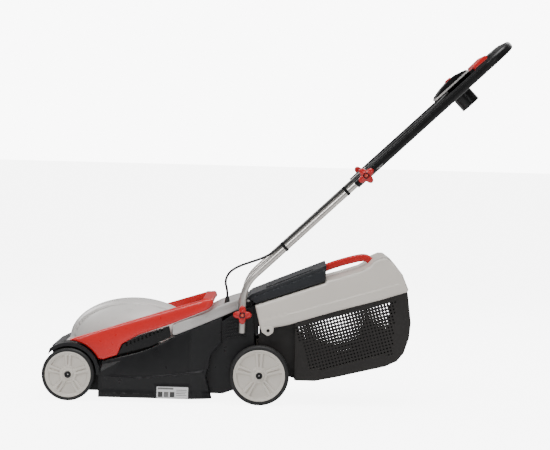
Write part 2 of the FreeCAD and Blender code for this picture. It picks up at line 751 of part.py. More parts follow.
def make_red_cover():
    """U-shaped cover: an arm along each side of the hood, joined behind it by the carry bar."""
    outer = fender_outer + 4
    zero = front_axle_z
    tip = cosine(num(28))
    tip_up = sine(num(28))
    middle = cosine(num(60))
    middle_up = sine(num(60))

    def arm_outline(drop):
        top = [(404, 299), (375, 294), (274, 262), (163, 226), (91, 202), (0, 173)]
        low = [(0, zero + outer), (outer * middle, zero + outer * middle_up), (outer * tip, zero + outer * tip_up),
               (98, 118), (138, 132), (150, 163), (198, 191.5), (284, 222), (348, 248.5), (395, 269), (409, 284)]
        return [(y, z - drop) for y, z in top] + [(y, z - drop) for y, z in low]

    bends = {6: -outer, 7: -outer}
    arms = both_sides("red_arm", lambda name, side: slab(
        name, arm_outline(0), *mirrored(s.arm_inner, s.arm_outer, side), bends))
    hollows = both_sides("red_hollow", lambda name, side: slab(
        name, arm_outline(4), *mirrored(s.arm_inner + s.cover_wall, s.arm_outer - s.cover_wall, side), bends))
    shells = [cut(f"red_shell_{index}", arm, [hollow]) for index, (arm, hollow) in enumerate(zip(arms, hollows))]
    edge = 7
    bar = slab("red_bar", [
        (s.bar_front + edge, s.bar_low), (s.bar_rear - edge, s.bar_low), (s.bar_rear, s.bar_low + edge),
        (s.bar_rear, s.bar_high - edge), (s.bar_rear - edge, s.bar_high), (s.bar_front + edge, s.bar_high),
        (s.bar_front, s.bar_high - edge), (s.bar_front, s.bar_low + edge)],
        -s.arm_inner - 1, s.arm_inner + 1, {1: edge, 3: edge, 5: edge, 7: edge})
    node(fuse("carry_cover", shells + [bar]), "carry_cover")


def gland_cone(name):
    """Cone of the cable gland, which also makes its hole in the rear cover."""
    cone = doc.addObject("Part::Cone", name)
    bind(cone, "Radius1", s.gland_radius)
    bind(cone, "Radius2", s.cable_radius + 1.2)
    bind(cone, "Height", s.gland_high)
    bind(cone, "Placement.Base.x", s.gland_x)
    bind(cone, "Placement.Base.y", s.gland_y)
    bind(cone, "Placement.Base.z", 303 - s.gland_high)
    return cone


def make_rear_cover():
    """Saddle over the grass tunnel, from the hood to the handle tubes."""
    wall = s.cover_wall
    half = s.saddle_front_half
    top = [(480, 298), (454, 289), (421, 276), (395, 262), (316, 231), (294, 222)]
    outer = slab("saddle_outer", [
        (294, 192.2), (303, 192.2), SHOULDER_REAR, (464, 259.4), (480, 266)] + top, -half, half)
    inner = slab("saddle_inner_slab", [(290, 150), (477, 150)] + [(y - 3, z - wall) for y, z in top[:-1]] + [
        (290, 218)], -half + wall, half - wall)
    hollow = cut("saddle_inner", inner, both_sides(
        "saddle_inner_wedge", lambda name, side: plan_wedge(name, side, wall)))
    tools = [hollow, dome("saddle_dome", -s.seat_gap), gland_cone("saddle_gland_hole")]
    node(cut("rear_cover", outer, tools + both_sides("saddle_wedge", plan_wedge)), "rear_cover")


def make_grilles():
    solids = []
    for side in (1, -1):
        low, high = mirrored(s.grille_inner, s.grille_outer, side)
        panel = slab(f"grille_panel_{side + 1}", [
            (142, 135), (228, 158), (290, 188), (284, 219), (200, 189), (153, 161)], low, high)
        slots = [block(f"grille_slot_{side + 1}_{index}", (low - 1, 162 + s.rib_pitch * index, 158 + 5 * index),
                       (high + 1, 162 + s.rib_pitch * index + s.rib_slot, 168 + 5 * index)) for index in range(10)]
        solids.append(cut(f"grille_{side + 1}", panel, slots))
    node(group("vent_grilles", solids), "vent_grilles")


def make_label():
    low = s.skirt_half
    label = block("label_plate", (low, 252, s.skirt_low + 1),
                  (low + s.label_thick, 252 + s.label_long, s.skirt_low + 1 + s.label_high))
    node(group("rating_label", [label]), "rating_label")


make_hood()
make_red_cover()
make_rear_cover()
make_grilles()
make_label()


# ----------------------------------------------------------------------------------------------------
# Motor and blade, all on the motor axis
# ----------------------------------------------------------------------------------------------------
def turned(label, points, bends=None):
    """Sub-part turned about the motor axis from an outline of (radius, height)."""
    body = new_body(label + "_body")
    revolve(body, label + "_turned", points, "V_Axis", bends)
    return node(body, label, y=s.motor_y)


def ring(label, inner, outer, low, high):
    return turned(label, [(inner, low), (outer, low), (outer, high), (inner, high)])


def make_motor():
    base = roof_high
    top = base + s.can_high
    inner = s.can_radius - s.can_wall
    seat = s.bearing_radius
    shaft_room = s.shaft_radius + 2
    # bottom plate with the lower bearing seat, wall, and top plate with the upper bearing seat
    turned("motor_can", [
        (shaft_room, base), (s.can_radius, base), (s.can_radius, top), (shaft_room, top), (shaft_room, top - 3),
        (seat, top - 3), (seat, top - 3 - s.bearing_wide), (seat + 4, top - 3 - s.bearing_wide),
        (seat + 4, top - 4), (inner, top - 4), (inner, base + 4), (seat + 4, base + 4),
        (seat + 4, base + 3 + s.bearing_wide), (seat, base + 3 + s.bearing_wide), (seat, base + 3),
        (shaft_room, base + 3)])
    ring("motor_stator", s.stator_inner, inner, s.stack_low, s.stack_high)
    bore = s.shaft_radius + s.run_gap
    bearings = []
    for index, low in enumerate((base + 3, top - 3 - s.bearing_wide)):
        outer_ring = rod(f"bearing_outer_{index}", "z", (0, s.motor_y), seat, low, low + s.bearing_wide)
        hole = rod(f"bearing_hole_{index}", "z", (0, s.motor_y), bore, low - 1, low + s.bearing_wide + 1)
        bearings.append(cut(f"bearing_{index}", outer_ring, [hole]))
    node(group("motor_bearings", bearings), "motor_bearings")
    node(group("capacitor", [rod("capacitor_can", "z", (0, s.capacitor_y), s.capacitor_radius, roof_high,
                                 roof_high + s.capacitor_high)]), "capacitor")
    screws = []
    for index in range(4):
        angle = num(45 + 90 * index)
        reach = s.can_radius + 6
        centre = (reach * cosine(angle), s.motor_y + reach * sine(angle))
        screws.append(rod(f"motor_screw_{index}", "z", centre, 4, base, base + 4))
    node(group("motor_screws", screws), "motor_screws")


def make_rotor():
    rim = s.shaft_radius
    blade_top = s.blade_low + s.blade_thick
    shaft_top = roof_high + s.can_high - 5
    turned("rotor_shaft", [
        (s.blade_bolt_radius, blade_top), (rim, blade_top), (rim, shaft_top), (0, shaft_top),
        (0, blade_top + 24), (s.blade_bolt_radius, blade_top + 24)])
    ring("rotor_core", rim, s.rotor_radius, s.stack_low, s.stack_high)
    hub = 12
    hub_disc = ring_solid("fan_hub", rim, hub, s.fan_low, s.fan_low + 9)
    plate = ring_solid("fan_plate", rim, s.fan_radius, s.fan_low, s.fan_low + 2)
    fins = []
    for index in range(8):
        fin = block(f"fan_fin_{index}", (0, 0, s.fan_low), (s.fan_radius - hub, 2, s.fan_low + 9))
        angle = num(45 * index)
        fin.Placement.Rotation = FreeCAD.Rotation(Vector(0, 0, 1), angle.value)
        start = num(hub - 1)
        bind(fin, "Placement.Base.x", start * cosine(angle))
        bind(fin, "Placement.Base.y", start * sine(angle))
        fins.append(fin)
    node(fuse("cooling_fan", [hub_disc, plate] + fins), "cooling_fan", y=s.motor_y)
    turned("blade_holder", [
        (rim, blade_top), (s.holder_radius + 8, blade_top), (s.holder_radius + 8, blade_top + 5),
        (s.holder_radius, blade_top + 5), (s.holder_radius, 88), (rim, 88)])
    half = s.blade_long / 2
    wide = s.blade_wide / 2
    blade = extrude("blade_bar", "plan", [
        (-wide, -half + 12), (-wide + 12, -half), (wide, -half), (wide, half - 12), (wide - 12, half),
        (-wide, half)], s.blade_low, blade_top)
    hole = rod("blade_hole", "z", (0, 0), s.blade_bolt_radius, s.blade_low - 1, blade_top + 1)
    node(cut("blade", blade, [hole]), "blade", y=s.motor_y)
    washer = rod("blade_washer", "z", (0, 0), 13, s.blade_low - 2, s.blade_low)
    corners = [num(60 * index) for index in range(6)]
    head = extrude("blade_bolt_head", "plan", [(cosine(angle) * 9, sine(angle) * 9) for angle in corners],
                   s.blade_low - 9, s.blade_low - 2)
    thread = rod("blade_bolt_thread", "z", (0, 0), s.blade_bolt_radius, s.blade_low - 3, blade_top + 22)
    node(fuse("blade_bolt", [washer, head, thread]), "blade_bolt", y=s.motor_y)


def ring_solid(name, inner, outer, low, high):
    return cut(name, rod(name + "_disc", "z", (0, 0), outer, low, high),
               [rod(name + "_bore", "z", (0, 0), inner, num(low) - 1, num(high) + 1)])


make_motor()
make_rotor()


# ----------------------------------------------------------------------------------------------------
# Handle: lower tubes, bolts, knobs, upper handle
# ----------------------------------------------------------------------------------------------------
def tube_points():
    """The lower tube's centre line in (Y, Z) from the lower pivot, and its bend."""
    run_y = s.joint_y - s.pivot_y
    run_z = s.joint_z - s.pivot_z
    corner = run_z - run_y * handle_sin / handle_cos
    reach = s.tube_bend * tangent((90 - s.handle_angle) / 2)
    end_y = run_y + s.tube_end * handle_cos
    end_z = run_z + s.tube_end * handle_sin
    points = [(num(0), -s.tube_stub), (num(0), corner - reach),
              (reach * handle_cos, corner + reach * handle_sin), (end_y, end_z)]
    return points, {1: -s.tube_bend}


def make_tube(label, side):
    body = new_body(label + "_body")
    path = sketch_on(body, "YZ_Plane", label + "_path")
    points, bends = tube_points()
    draw(path, points, bends, is_open=True)
    section = sketch_on(body, "XY_Plane", label + "_section")
    bind(section, "AttachmentOffset.Base.z", -s.tube_stub)
    draw_circle(section, (0, 0), s.tube_radius)
    draw_circle(section, (0, 0), s.tube_bore)
    pipe = body.newObject("PartDesign::AdditivePipe", label + "_pipe")
    pipe.Profile = section
    pipe.Spine = path
    holes = sketch_on(body, "YZ_Plane", label + "_holes")
    bore = s.bolt_radius + s.run_gap
    draw_circle(holes, (0, 0), bore)
    draw_circle(holes, (s.joint_y - s.pivot_y, s.joint_z - s.pivot_z), bore)
    pocket(body, label + "_bolt_holes", holes, s.tube_radius * 4, symmetric=True)
    node(body, label, y=s.pivot_y, z=s.pivot_z, x=s.tube_x * side)


def make_bolts():
    lower = []
    upper = []
    for side in (1, -1):
        inner = s.tub_half - s.shell_wall
        lower.append(rod(f"lower_shank_{side + 1}", "x", (s.pivot_y, s.pivot_z), s.bolt_radius,
                         *mirrored(inner, knob_lower_x + 14, side)))
        lower.append(rod(f"lower_head_{side + 1}", "x", (s.pivot_y, s.pivot_z), s.head_radius,
                         *mirrored(inner - s.head_high, inner, side)))
        start = s.tube_x - s.tube_radius
        upper.append(rod(f"upper_shank_{side + 1}", "x", (s.joint_y, s.joint_z), s.bolt_radius,
                         *mirrored(start, arm_outer_x + 14, side)))
        upper.append(rod(f"upper_head_{side + 1}", "x", (s.joint_y, s.joint_z), s.head_radius,
                         *mirrored(start - s.head_high, start, side)))
    for label, pieces in (("lower_bolts", lower), ("upper_bolts", upper)):
        bolts = [fuse(f"{label}_{index}", pieces[2 * index:2 * index + 2]) for index in range(2)]
        node(group(label, bolts), label)


def star_knob(name):
    """Four-lobed knob on the X axis, its inner face at 0, with a blind bore for the bolt."""
    body = new_body(name)
    core = sketch_on(body, "YZ_Plane", name + "_core_outline")
    draw_circle(core, (0, 0), s.knob_core)
    pad(body, name + "_core", core, s.knob_high)
    lobe = sketch_on(body, "YZ_Plane", name + "_lobe_outline")
    wide = s.knob_lobe
    reach = s.knob_reach
    draw(lobe, [(-wide, 8), (wide, 8), (wide, reach - wide), (0, reach), (-wide, reach - wide)], {2: wide, 3: wide})
    lobe_pad = pad(body, name + "_lobe", lobe, s.knob_high - 2)
    polar(body, name + "_lobes", lobe_pad, "X_Axis", 4)
    bore = sketch_on(body, "YZ_Plane", name + "_bore_outline")
    draw_circle(bore, (0, 0), s.bolt_radius + s.run_gap)
    pocket(body, name + "_bore", bore, num(14.5), reverse=True)
    return body


def make_knobs():
    for suffix, side in (("left", 1), ("right", -1)):
        for level, y, z, start, turn in (("lower", s.pivot_y, s.pivot_z, knob_lower_x + 0.3, 0),
                                         ("upper", s.joint_y, s.joint_z, arm_outer_x + 0.3, 45)):
            label = f"{level}_knob_{suffix}"
            body = star_knob(label + "_body")
            spin = FreeCAD.Rotation(Vector(1, 0, 0), turn)
            if side < 0:
                spin = FreeCAD.Rotation(Vector(0, 0, 1), 180).multiply(spin)
            body.Placement = FreeCAD.Placement(Vector(0, 0, 0), spin)
            node(body, label, y=y, z=z, x=start * side)


def loop_outline(inset, tail, reach):
    """Plan of the grip loop: straight arms and rounded corners."""
    half = arm_outer_x - inset
    bend = s.grip_bend - inset
    return [(half, tail), (half, reach - bend), (half - bend, reach), (bend - half, reach),
            (-half, reach - bend), (-half, tail)], {1: bend, 3: bend}


def make_upper_handle():
    outer_points, outer_bends = loop_outline(num(0), -s.arm_tail, s.grip_reach)
    body = new_body("loop_body")
    sketch = sketch_on(body, "XY_Plane", "loop_outline")
    inner_points, inner_bends = loop_outline(s.arm_thick, -s.arm_tail, s.grip_reach - s.grip_thick)
    points = outer_points + list(reversed(inner_points))
    bends = dict(outer_bends)
    for index, radius in inner_bends.items():
        bends[2 * len(outer_points) - 2 - index] = -radius
    draw(sketch, points, bends)
    loop = pad(body, "loop_pad", sketch, s.arm_deep, symmetric=True)
    doc.recompute()
    rounded = body.newObject("PartDesign::Fillet", "loop_rounding")
    rounded.Base = (loop, long_edges(loop.Shape, s.arm_thick.value * 1.5))
    bind(rounded, "Radius", s.grip_round)
    holes = sketch_on(body, "YZ_Plane", "loop_bolt_outline")
    draw_circle(holes, (0, 0), s.bolt_radius + s.run_gap)
    pocket(body, "loop_bolt_holes", holes, arm_outer_x * 3, symmetric=True)
    bridges = both_sides("loop_bridge", lambda name, side: block(
        name, (mirrored(s.console_half, arm_inner_x + 4, side)[0], s.bridge_start, -s.bridge_half_deep),
        (mirrored(s.console_half, arm_inner_x + 4, side)[1], s.bridge_end, s.bridge_half_deep)))
    on_handle(fuse("handle_loop", [body] + bridges), "handle_loop")


def long_edges(shape, shortest):
    """Names of the edges longer than a length that do not run along Z."""
    names = []
    for index, edge in enumerate(shape.Edges, start=1):
        flat = abs(edge.Vertexes[0].Z - edge.Vertexes[-1].Z) < 1
        if edge.Length > shortest and flat:
            names.append(f"Edge{index}")
    return names


for suffix, facing in (("left", 1), ("right", -1)):
    make_tube(f"lower_tube_{suffix}", facing)
make_bolts()
make_knobs()
make_upper_handle()


# ----------------------------------------------------------------------------------------------------
# Switch console, in the upper handle's own frame
# ----------------------------------------------------------------------------------------------------
def make_console():
    wall = s.cover_wall
    half = s.console_half
    shell = cut("console_shell", block("console_outer", (-half, s.console_start, s.console_low),
                                       (half, s.console_end, s.console_seam)),
                [block("console_inner", (-half + wall, s.console_start + wall, s.console_low + wall),
                       (half - wall, s.console_end - wall, s.console_seam + 1))])
    up = s.lever_pivot_up
    ears = both_sides("console_ear", lambda name, side: slab(name, [
        (s.console_end - 1, up - 6), (s.lever_pivot_along, up - 6), (s.lever_pivot_along + 6, up),
        (s.lever_pivot_along, up + 6), (s.console_end - 1, up + 6)],
        *mirrored(half - 5, half, side), {1: 6, 2: 6}))
    pin = rod("console_pin", "x", (s.lever_pivot_along, up), s.lever_pin, -half + 1, half - 1)
    on_handle(fuse("switch_housing", [shell] + ears + [pin]), "switch_housing")
    start = s.console_start - 2
    end = s.console_end + 2
    seam = s.console_seam
    crown = s.console_crown
    outline = [(start, seam), (end, seam), (end - 3, seam + 8), (395, crown - 3), (s.button_along, crown),
               (330, crown - 5), (start + 5, seam + 8)]
    inner = [(start + wall, seam - 1), (end - wall, seam - 1), (end - 5, seam + 6), (394, crown - 6),
             (s.button_along, crown - wall), (331, crown - 8), (start + 7, seam + 6)]
    cover = cut("cover_shell", slab("cover_outer", outline, -half - 2, half + 2),
                [slab("cover_inner", inner, -half + 1, half - 1),
                 rod("cover_hole", "z", (0, s.button_along), s.button_radius + s.slot_gap, seam, crown + 5)])
    on_handle(group("switch_cover", [cover]), "switch_cover")
    switch = block("switch_block", (-16, s.button_along - 22, s.console_low + wall),
                   (16, s.button_along + 22, s.console_seam - 4))
    on_handle(group("motor_switch", [switch]), "motor_switch")
    top = s.console_crown + s.button_proud
    button = rod("button_stem", "z", (0, s.button_along), s.button_radius, top - s.button_long, top)
    on_handle(group("safety_button", [button]), "safety_button")


def make_inlet():
    top = s.console_low
    end = top - s.inlet_long
    centre = (0, s.inlet_along)
    outer = rod("inlet_tube", "z", centre, s.inlet_outer, end, top)
    mouth = rod("inlet_mouth_bore", "z", centre, s.inlet_mouth, end - 1, end + s.mouth_deep)
    seat = rod("inlet_seat_bore", "z", centre, s.inlet_seat, end + s.mouth_deep - 1, top - s.cover_wall)
    on_handle(cut("inlet_shroud", outer, [mouth, seat]), "inlet_shroud")
    floor = top - s.cover_wall
    pins = []
    for index in range(3):
        angle = num(90 + 120 * index)
        place = (s.pin_spread * cosine(angle), s.inlet_along + s.pin_spread * sine(angle))
        pins.append(rod(f"inlet_pin_{index}", "z", place, s.pin_radius, floor - s.pin_long, floor))
    on_handle(group("inlet_pins", pins), "inlet_pins")


def make_lever():
    """Start lever: a hub on the console's pin and a wide paddle towards the grip."""
    along = s.lever_pivot_along
    up = s.lever_pivot_up
    hub_half = s.console_half - 5 - s.seat_gap
    hub = rod("lever_hub_solid", "x", (along, up), s.lever_hub, -hub_half, hub_half)
    top = up + 12
    neck = slab("lever_neck", [
        (along - 1, up + 2), (along + 14, up - 1), (along + 16, top - s.lever_thick),
        (along + 16, top), (along + 4, top - 2)], -hub_half, hub_half)
    paddle = slab("lever_paddle", [
        (along + 12, top - s.lever_thick), (s.lever_reach - 4, top - s.lever_thick - 1),
        (s.lever_reach, top - s.lever_thick + 3), (s.lever_reach, top - 4), (s.lever_reach - 4, top),
        (along + 12, top)], -s.lever_half, s.lever_half)
    hole = rod("lever_bore", "x", (along, up), s.lever_pin + s.run_gap, -s.lever_half, s.lever_half)
    on_handle(cut("start_lever", fuse("lever_solid", [hub, neck, paddle]), [hole]), "start_lever")


make_console()
make_inlet()
make_lever()


# ----------------------------------------------------------------------------------------------------
# Flap and grass box
# ----------------------------------------------------------------------------------------------------
lid_slope = tangent(s.lid_tilt)


def lid_top(y):
    """Height of the lid's top under the flap."""
    return s.lid_front_z + (num(y) - s.lid_front) * lid_slope


def make_flap():
    half = s.flap_half
    wall = s.cover_wall
    rear_low = lid_top(s.flap_rear) + s.move_gap
    outer = slab("flap_outer", [
        (s.hinge_y - 5, 300), (s.hinge_y + 6, 311), (s.flap_rear, 400), (s.flap_rear - 1, rear_low),
        (s.lid_front, lid_top(s.lid_front) + s.move_gap), (s.hinge_y + 11, s.hinge_z - 1)], -half, half)
    inner = slab("flap_inner", [
        (s.hinge_y - 9, 293), (s.hinge_y + 6, 307.5), (s.flap_rear - wall, 396), (s.flap_rear - wall, 300),
        (s.lid_front, 250), (s.hinge_y - 9, 260)], -half + wall, half - wall)
    carry_room = s.carry_half + s.notch_gap
    notch = block("flap_notch", (-carry_room, s.flap_rear - 10, 300), (carry_room, s.flap_rear + 5, 394))
    ear_room = both_sides("flap_ear_room", lambda name, side: block(
        name, (mirrored(s.ear_inner - s.seat_gap, s.ear_inner + s.ear_thick + s.seat_gap, side)[0], 480, 270),
        (mirrored(s.ear_inner - s.seat_gap, s.ear_inner + s.ear_thick + s.seat_gap, side)[1], s.hinge_y + 10,
         s.hinge_z + 10)))
    shell = cut("flap_shell", outer, [inner, notch] + ear_room)
    barrel_half = s.ear_inner - s.seat_gap
    barrel = rod("flap_barrel", "x", (s.hinge_y, s.hinge_z), s.hinge_barrel, -barrel_half, barrel_half)
    web = block("flap_web", (-barrel_half, s.hinge_y - 1, s.hinge_z + 4), (barrel_half, s.hinge_y + 5, 308.5))
    hole = rod("flap_bore", "x", (s.hinge_y, s.hinge_z), s.hinge_pin + s.run_gap, -half, half)
    node(cut("rear_flap", fuse("flap_solid", [shell, barrel, web]), [hole]), "rear_flap")
    end = s.ear_inner + s.ear_thick + 20
    node(group("flap_hinge_pin", [rod("hinge_rod", "x", (s.hinge_y, s.hinge_z), s.hinge_pin, -end, end)]),
         "flap_hinge_pin")
    springs = []
    for side in (1, -1):
        low, high = mirrored(s.ear_inner + s.ear_thick + 1, end - 2, side)
        coil = rod(f"spring_coil_{side + 1}", "x", (s.hinge_y, s.hinge_z), 5, low, high)
        core = rod(f"spring_core_{side + 1}", "x", (s.hinge_y, s.hinge_z), s.hinge_pin + 0.3, low - 1, high + 1)
        springs.append(cut(f"spring_{side + 1}", coil, [core]))
    node(group("flap_springs", springs), "flap_springs")


# top of the lid behind the flap, the lid's rear and the rim on which lid and basket meet
LID_BACK = [(772, 370), (826, 388), (850, 402), (862, 416), (885, 427), (900, 427), (922, 411), (946, 381)]
LID_RIM = [(882, 305), (760, 271), (622, 228), (580, 219)]


def make_lid():
    half = s.lid_half
    wall = s.cover_wall
    step = s.lid_step
    outer = slab("lid_outer", [(s.lid_front, lid_top(s.lid_front)), (s.flap_rear - 4, lid_top(s.flap_rear - 4)),
                               (step, 358)] + LID_BACK + [
        (s.lid_rear, 338), (s.lid_rear - 4, 330)] + LID_RIM + [(545, 211), (539, 234)], -half, half)
    inner_back = [(772, 366), (827, 384), (852, 398.5), (864, 412.5), (886, 423.5), (899, 423.5), (919, 408.5),
                  (943, 379)]
    inner = slab("lid_inner", [
        (500, lid_top(500) - wall), (s.flap_rear - 3, lid_top(s.flap_rear - 3) - wall - 0.5), (step + 1, 354)]
        + inner_back + [(s.lid_rear - 3.5, 337), (s.lid_rear - 3.5, 150), (500, 150)], -half + wall, half - wall)
    lugs = both_sides("lid_lug", lambda name, side: slab(name, [
        (546, 213), (549, 206), (566, 195), (579, 206), (580, 219.5), (570, 228)],
        *mirrored(half - wall, half, side)))
    slots = slab("lid_slots", [(560, 206), (566, 202), (572, 206), (572, 216), (566, 220), (560, 216)],
                 -half - 1, half + 1)
    shell = cut("lid_shell", outer, [inner])
    node(cut("box_lid", fuse("lid_solid", [shell] + lugs), [slots]), "box_lid")


def make_basket():
    wall = s.basket_wall
    half = s.lid_half - s.cover_wall - s.seat_gap
    low = s.basket_low
    rim = [(952, 338), (882, 314), (760, 280), (650, 246)]
    rear = [(765, 83), (903, 117), (936, 133), (955, 157), (969, 200)]
    outer = slab("basket_outer", [
        (650, low), (703, low)] + rear + [(s.basket_rear, 244), (962, 329), (952, 325.5)] + rim[:1] + rim[1:3]
        + [(s.neck_end, 244), (s.neck_end, low + 1)], -half, half)
    neck = slab("basket_neck", [
        (s.neck_front, 248), (s.neck_front, 128), (585, 90), (s.neck_end + 8, low + 1), (s.neck_end + 8, 246)],
        -s.neck_half, s.neck_half)
    inner = slab("basket_inner", [
        (s.neck_end + wall, low + wall), (703, low + wall), (764, 85.7), (902, 119.6), (934, 135), (952.5, 158.4),
        (966.4, 200.6), (s.basket_rear - wall, 244), (959.5, 326), (949.5, 330), (949.5, 345), (882, 330),
        (760, 300), (s.neck_end + wall, 270)], -half + wall, half - wall)
    throat = slab("basket_throat", [
        (s.neck_front - 1, 260), (s.neck_front - 1, 131), (586, 92.8), (s.neck_end + 10, low + 3.5),
        (s.neck_end + 10, 260)], -s.neck_half + wall, s.neck_half - wall)
    node(cut("basket", fuse("basket_solid", [outer, neck]), [inner, throat]), "basket")


def make_box_handle():
    front = s.flap_rear - 26
    bar = slab("box_handle_bar", [
        (front, lid_top(front)), (front + 12, lid_top(front + 12)), (front + 12, 371), (729, 377.5), (823, 406.5),
        (840, 408), LID_BACK[2], LID_BACK[3], (856, 427), (836, 431), (776, 416), (722, 390), (front, 383)],
        -s.carry_half, s.carry_half)
    node(group("box_handle", [bar]), "box_handle")


make_flap()
make_lid()
make_basket()
make_box_handle()


# ----------------------------------------------------------------------------------------------------
# Cable: along the left tube and the left arm, with a free loop at the deck and one at the upper pivot
# ----------------------------------------------------------------------------------------------------
# Free loop from the gland on the rear cover to the lower clip: X, Y, Z of the corners of its route.
LOOP_ROUTE = [
    (118, 446, 303), (118, 446, 320), (122, 438, 345), (133, 448, 372), (146, 474, 391), (154, 507, 404),
    (157, 541, 416),
]


def cable_side_offset():
    return s.tube_radius + s.cable_radius + s.cable_gap


def route_arcs(points):
    """Straight runs joined by tangent arcs, each as large as its two runs allow."""
    corners = [Vector(*point) for point in points]
    edges = []
    radii = []
    here = corners[0]
    for before, corner, after in zip(corners, corners[1:], corners[2:]):
        into = corner - before
        away = after - corner
        shorter = min(into.Length, away.Length)
        turn = into.getAngle(away)
        reach = 0.45 * shorter
        radii.append(reach / math.tan(turn / 2))
        into.normalize()
        away.normalize()
        start = corner - into * reach
        end = corner + away * reach
        bisector = away - into
        bisector.normalize()
        depth = radii[-1] * (1 / math.cos(turn / 2) - 1)
        edges.append(Part.LineSegment(here, start).toShape())
        edges.append(Part.Arc(start, corner + bisector * depth, end).toShape())
        here = end
    edges.append(Part.LineSegment(here, corners[-1]).toShape())
    return Part.Wire(edges), radii


def cable_tube(name, points):
    """Plain cable solid along a route."""
    wire, radii = route_arcs(points)
    direction = Vector(*points[1]) - Vector(*points[0])
    circle = Part.Wire(Part.makeCircle(s.cable_radius.value, Vector(*points[0]), direction))
    solid = wire.makePipeShell([circle], True, True)
    section = math.pi * s.cable_radius.value ** 2
    print(f"{name}: length {wire.Length:.1f}, radii {[round(radius) for radius in radii]}, "
          f"volume over section times length {solid.Volume / (section * wire.Length):.4f}")
    feature = doc.addObject("Part::Feature", name)
    feature.Shape = solid
    return feature


def along_handle(x, along, up):
    """Point in the upper handle's frame, in the deck's frame."""
    angle = math.radians(s.handle_angle.value)
    return (x, s.joint_y.value + along * math.cos(angle) - up * math.sin(angle),
            s.joint_z.value + along * math.sin(angle) + up * math.cos(angle))


def make_cables():
    offset = cable_side_offset().value
    tube_x = s.tube_x.value
    clip = -s.clip_from_joint.value
    elbow = s.elbow_half.value
    clip_point = along_handle(tube_x, clip, offset)
    before_clip = along_handle(tube_x, clip - 28, offset)
    node(cable_tube("cable_loop_solid", LOOP_ROUTE + [before_clip, clip_point]), "cable_loop")
    lower = rod("cable_lower_solid", "z", (0, 0), s.cable_radius, 0, s.clip_from_joint - s.elbow_half)
    lower.Placement = FreeCAD.Placement(Vector(0, 0, 0), FreeCAD.Rotation(Vector(1, 0, 0), -90))
    bind(lower, "Placement.Base.x", s.tube_x)
    bind(lower, "Placement.Base.y", -s.clip_from_joint)
    bind(lower, "Placement.Base.z", cable_side_offset())
    on_handle(group("cable_lower", [lower]), "cable_lower")
    elbow_route = [(tube_x, -elbow, offset), (tube_x, -16, offset), (tube_x - 3, 15, offset - 0.5),
                   (tube_x - 6, elbow, offset - 2)]
    on_handle(cable_tube("cable_elbow_solid", elbow_route), "cable_elbow")
    side = s.console_half.value
    upper_route = [
        (tube_x - 6, elbow, offset - 2), (tube_x - 10, elbow + 40, offset - 4), (tube_x - 10.5, 140, offset - 5),
        (tube_x - 10, 200, offset - 4), (tube_x - 12, 255, offset - 2), (tube_x - 24, 295, offset + 1),
        (tube_x - 48, 324, offset + 2), (tube_x - 72, 335, offset + 1.5), (side, 335, offset + 1.5)]
    on_handle(cable_tube("cable_upper_solid", upper_route), "cable_upper")
    clips = []
    for index, along in enumerate((s.clip_from_joint - 6, s.clip_near_joint)):
        tall = cable_side_offset() + s.cable_radius + s.clip_wall
        wide = s.tube_radius + s.clip_wall
        outer = block(f"clip_outer_{index}", (s.tube_x - wide, -along, -wide), (s.tube_x + wide, -along + s.clip_wide, tall))
        holes = []
        for level, radius in ((num(0), s.tube_radius), (cable_side_offset(), s.cable_radius)):
            hole = rod(f"clip_hole_{index}_{len(holes)}", "z", (0, 0), radius, 0, s.clip_wide + 2)
            hole.Placement = FreeCAD.Placement(Vector(0, 0, 0), FreeCAD.Rotation(Vector(1, 0, 0), -90))
            bind(hole, "Placement.Base.x", s.tube_x)
            bind(hole, "Placement.Base.y", -along - 1)
            bind(hole, "Placement.Base.z", level)
            holes.append(hole)
        clips.append(cut(f"clip_{index}", outer, holes))
    on_handle(group("cable_clips", clips), "cable_clips")
    node(group("cable_gland", [gland_cone("gland_cone")]), "cable_gland")


make_cables()


# ----------------------------------------------------------------------------------------------------
# Check and write
# ----------------------------------------------------------------------------------------------------
def check_and_write():
    doc.recompute()
    for item in doc.Objects:
        broken = [state for state in item.State if state in ("Invalid", "Error")]
        if broken:
            raise RuntimeError(f"{item.Label} is {broken}")
    os.makedirs("parts", exist_ok=True)
    for item in NODES:
        shape = item.Shape
        if shape.isNull() or not shape.isValid() or not shape.Solids:
            raise RuntimeError(f"{item.Label} has no valid solid")
        shape.exportStep(f"parts/{item.Label}.step")
    print(len(NODES), "nodes")


check_and_write()
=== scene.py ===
import json
import math

import bmesh
import bpy
import numpy as np
from mathutils import Matrix, Vector, geometry

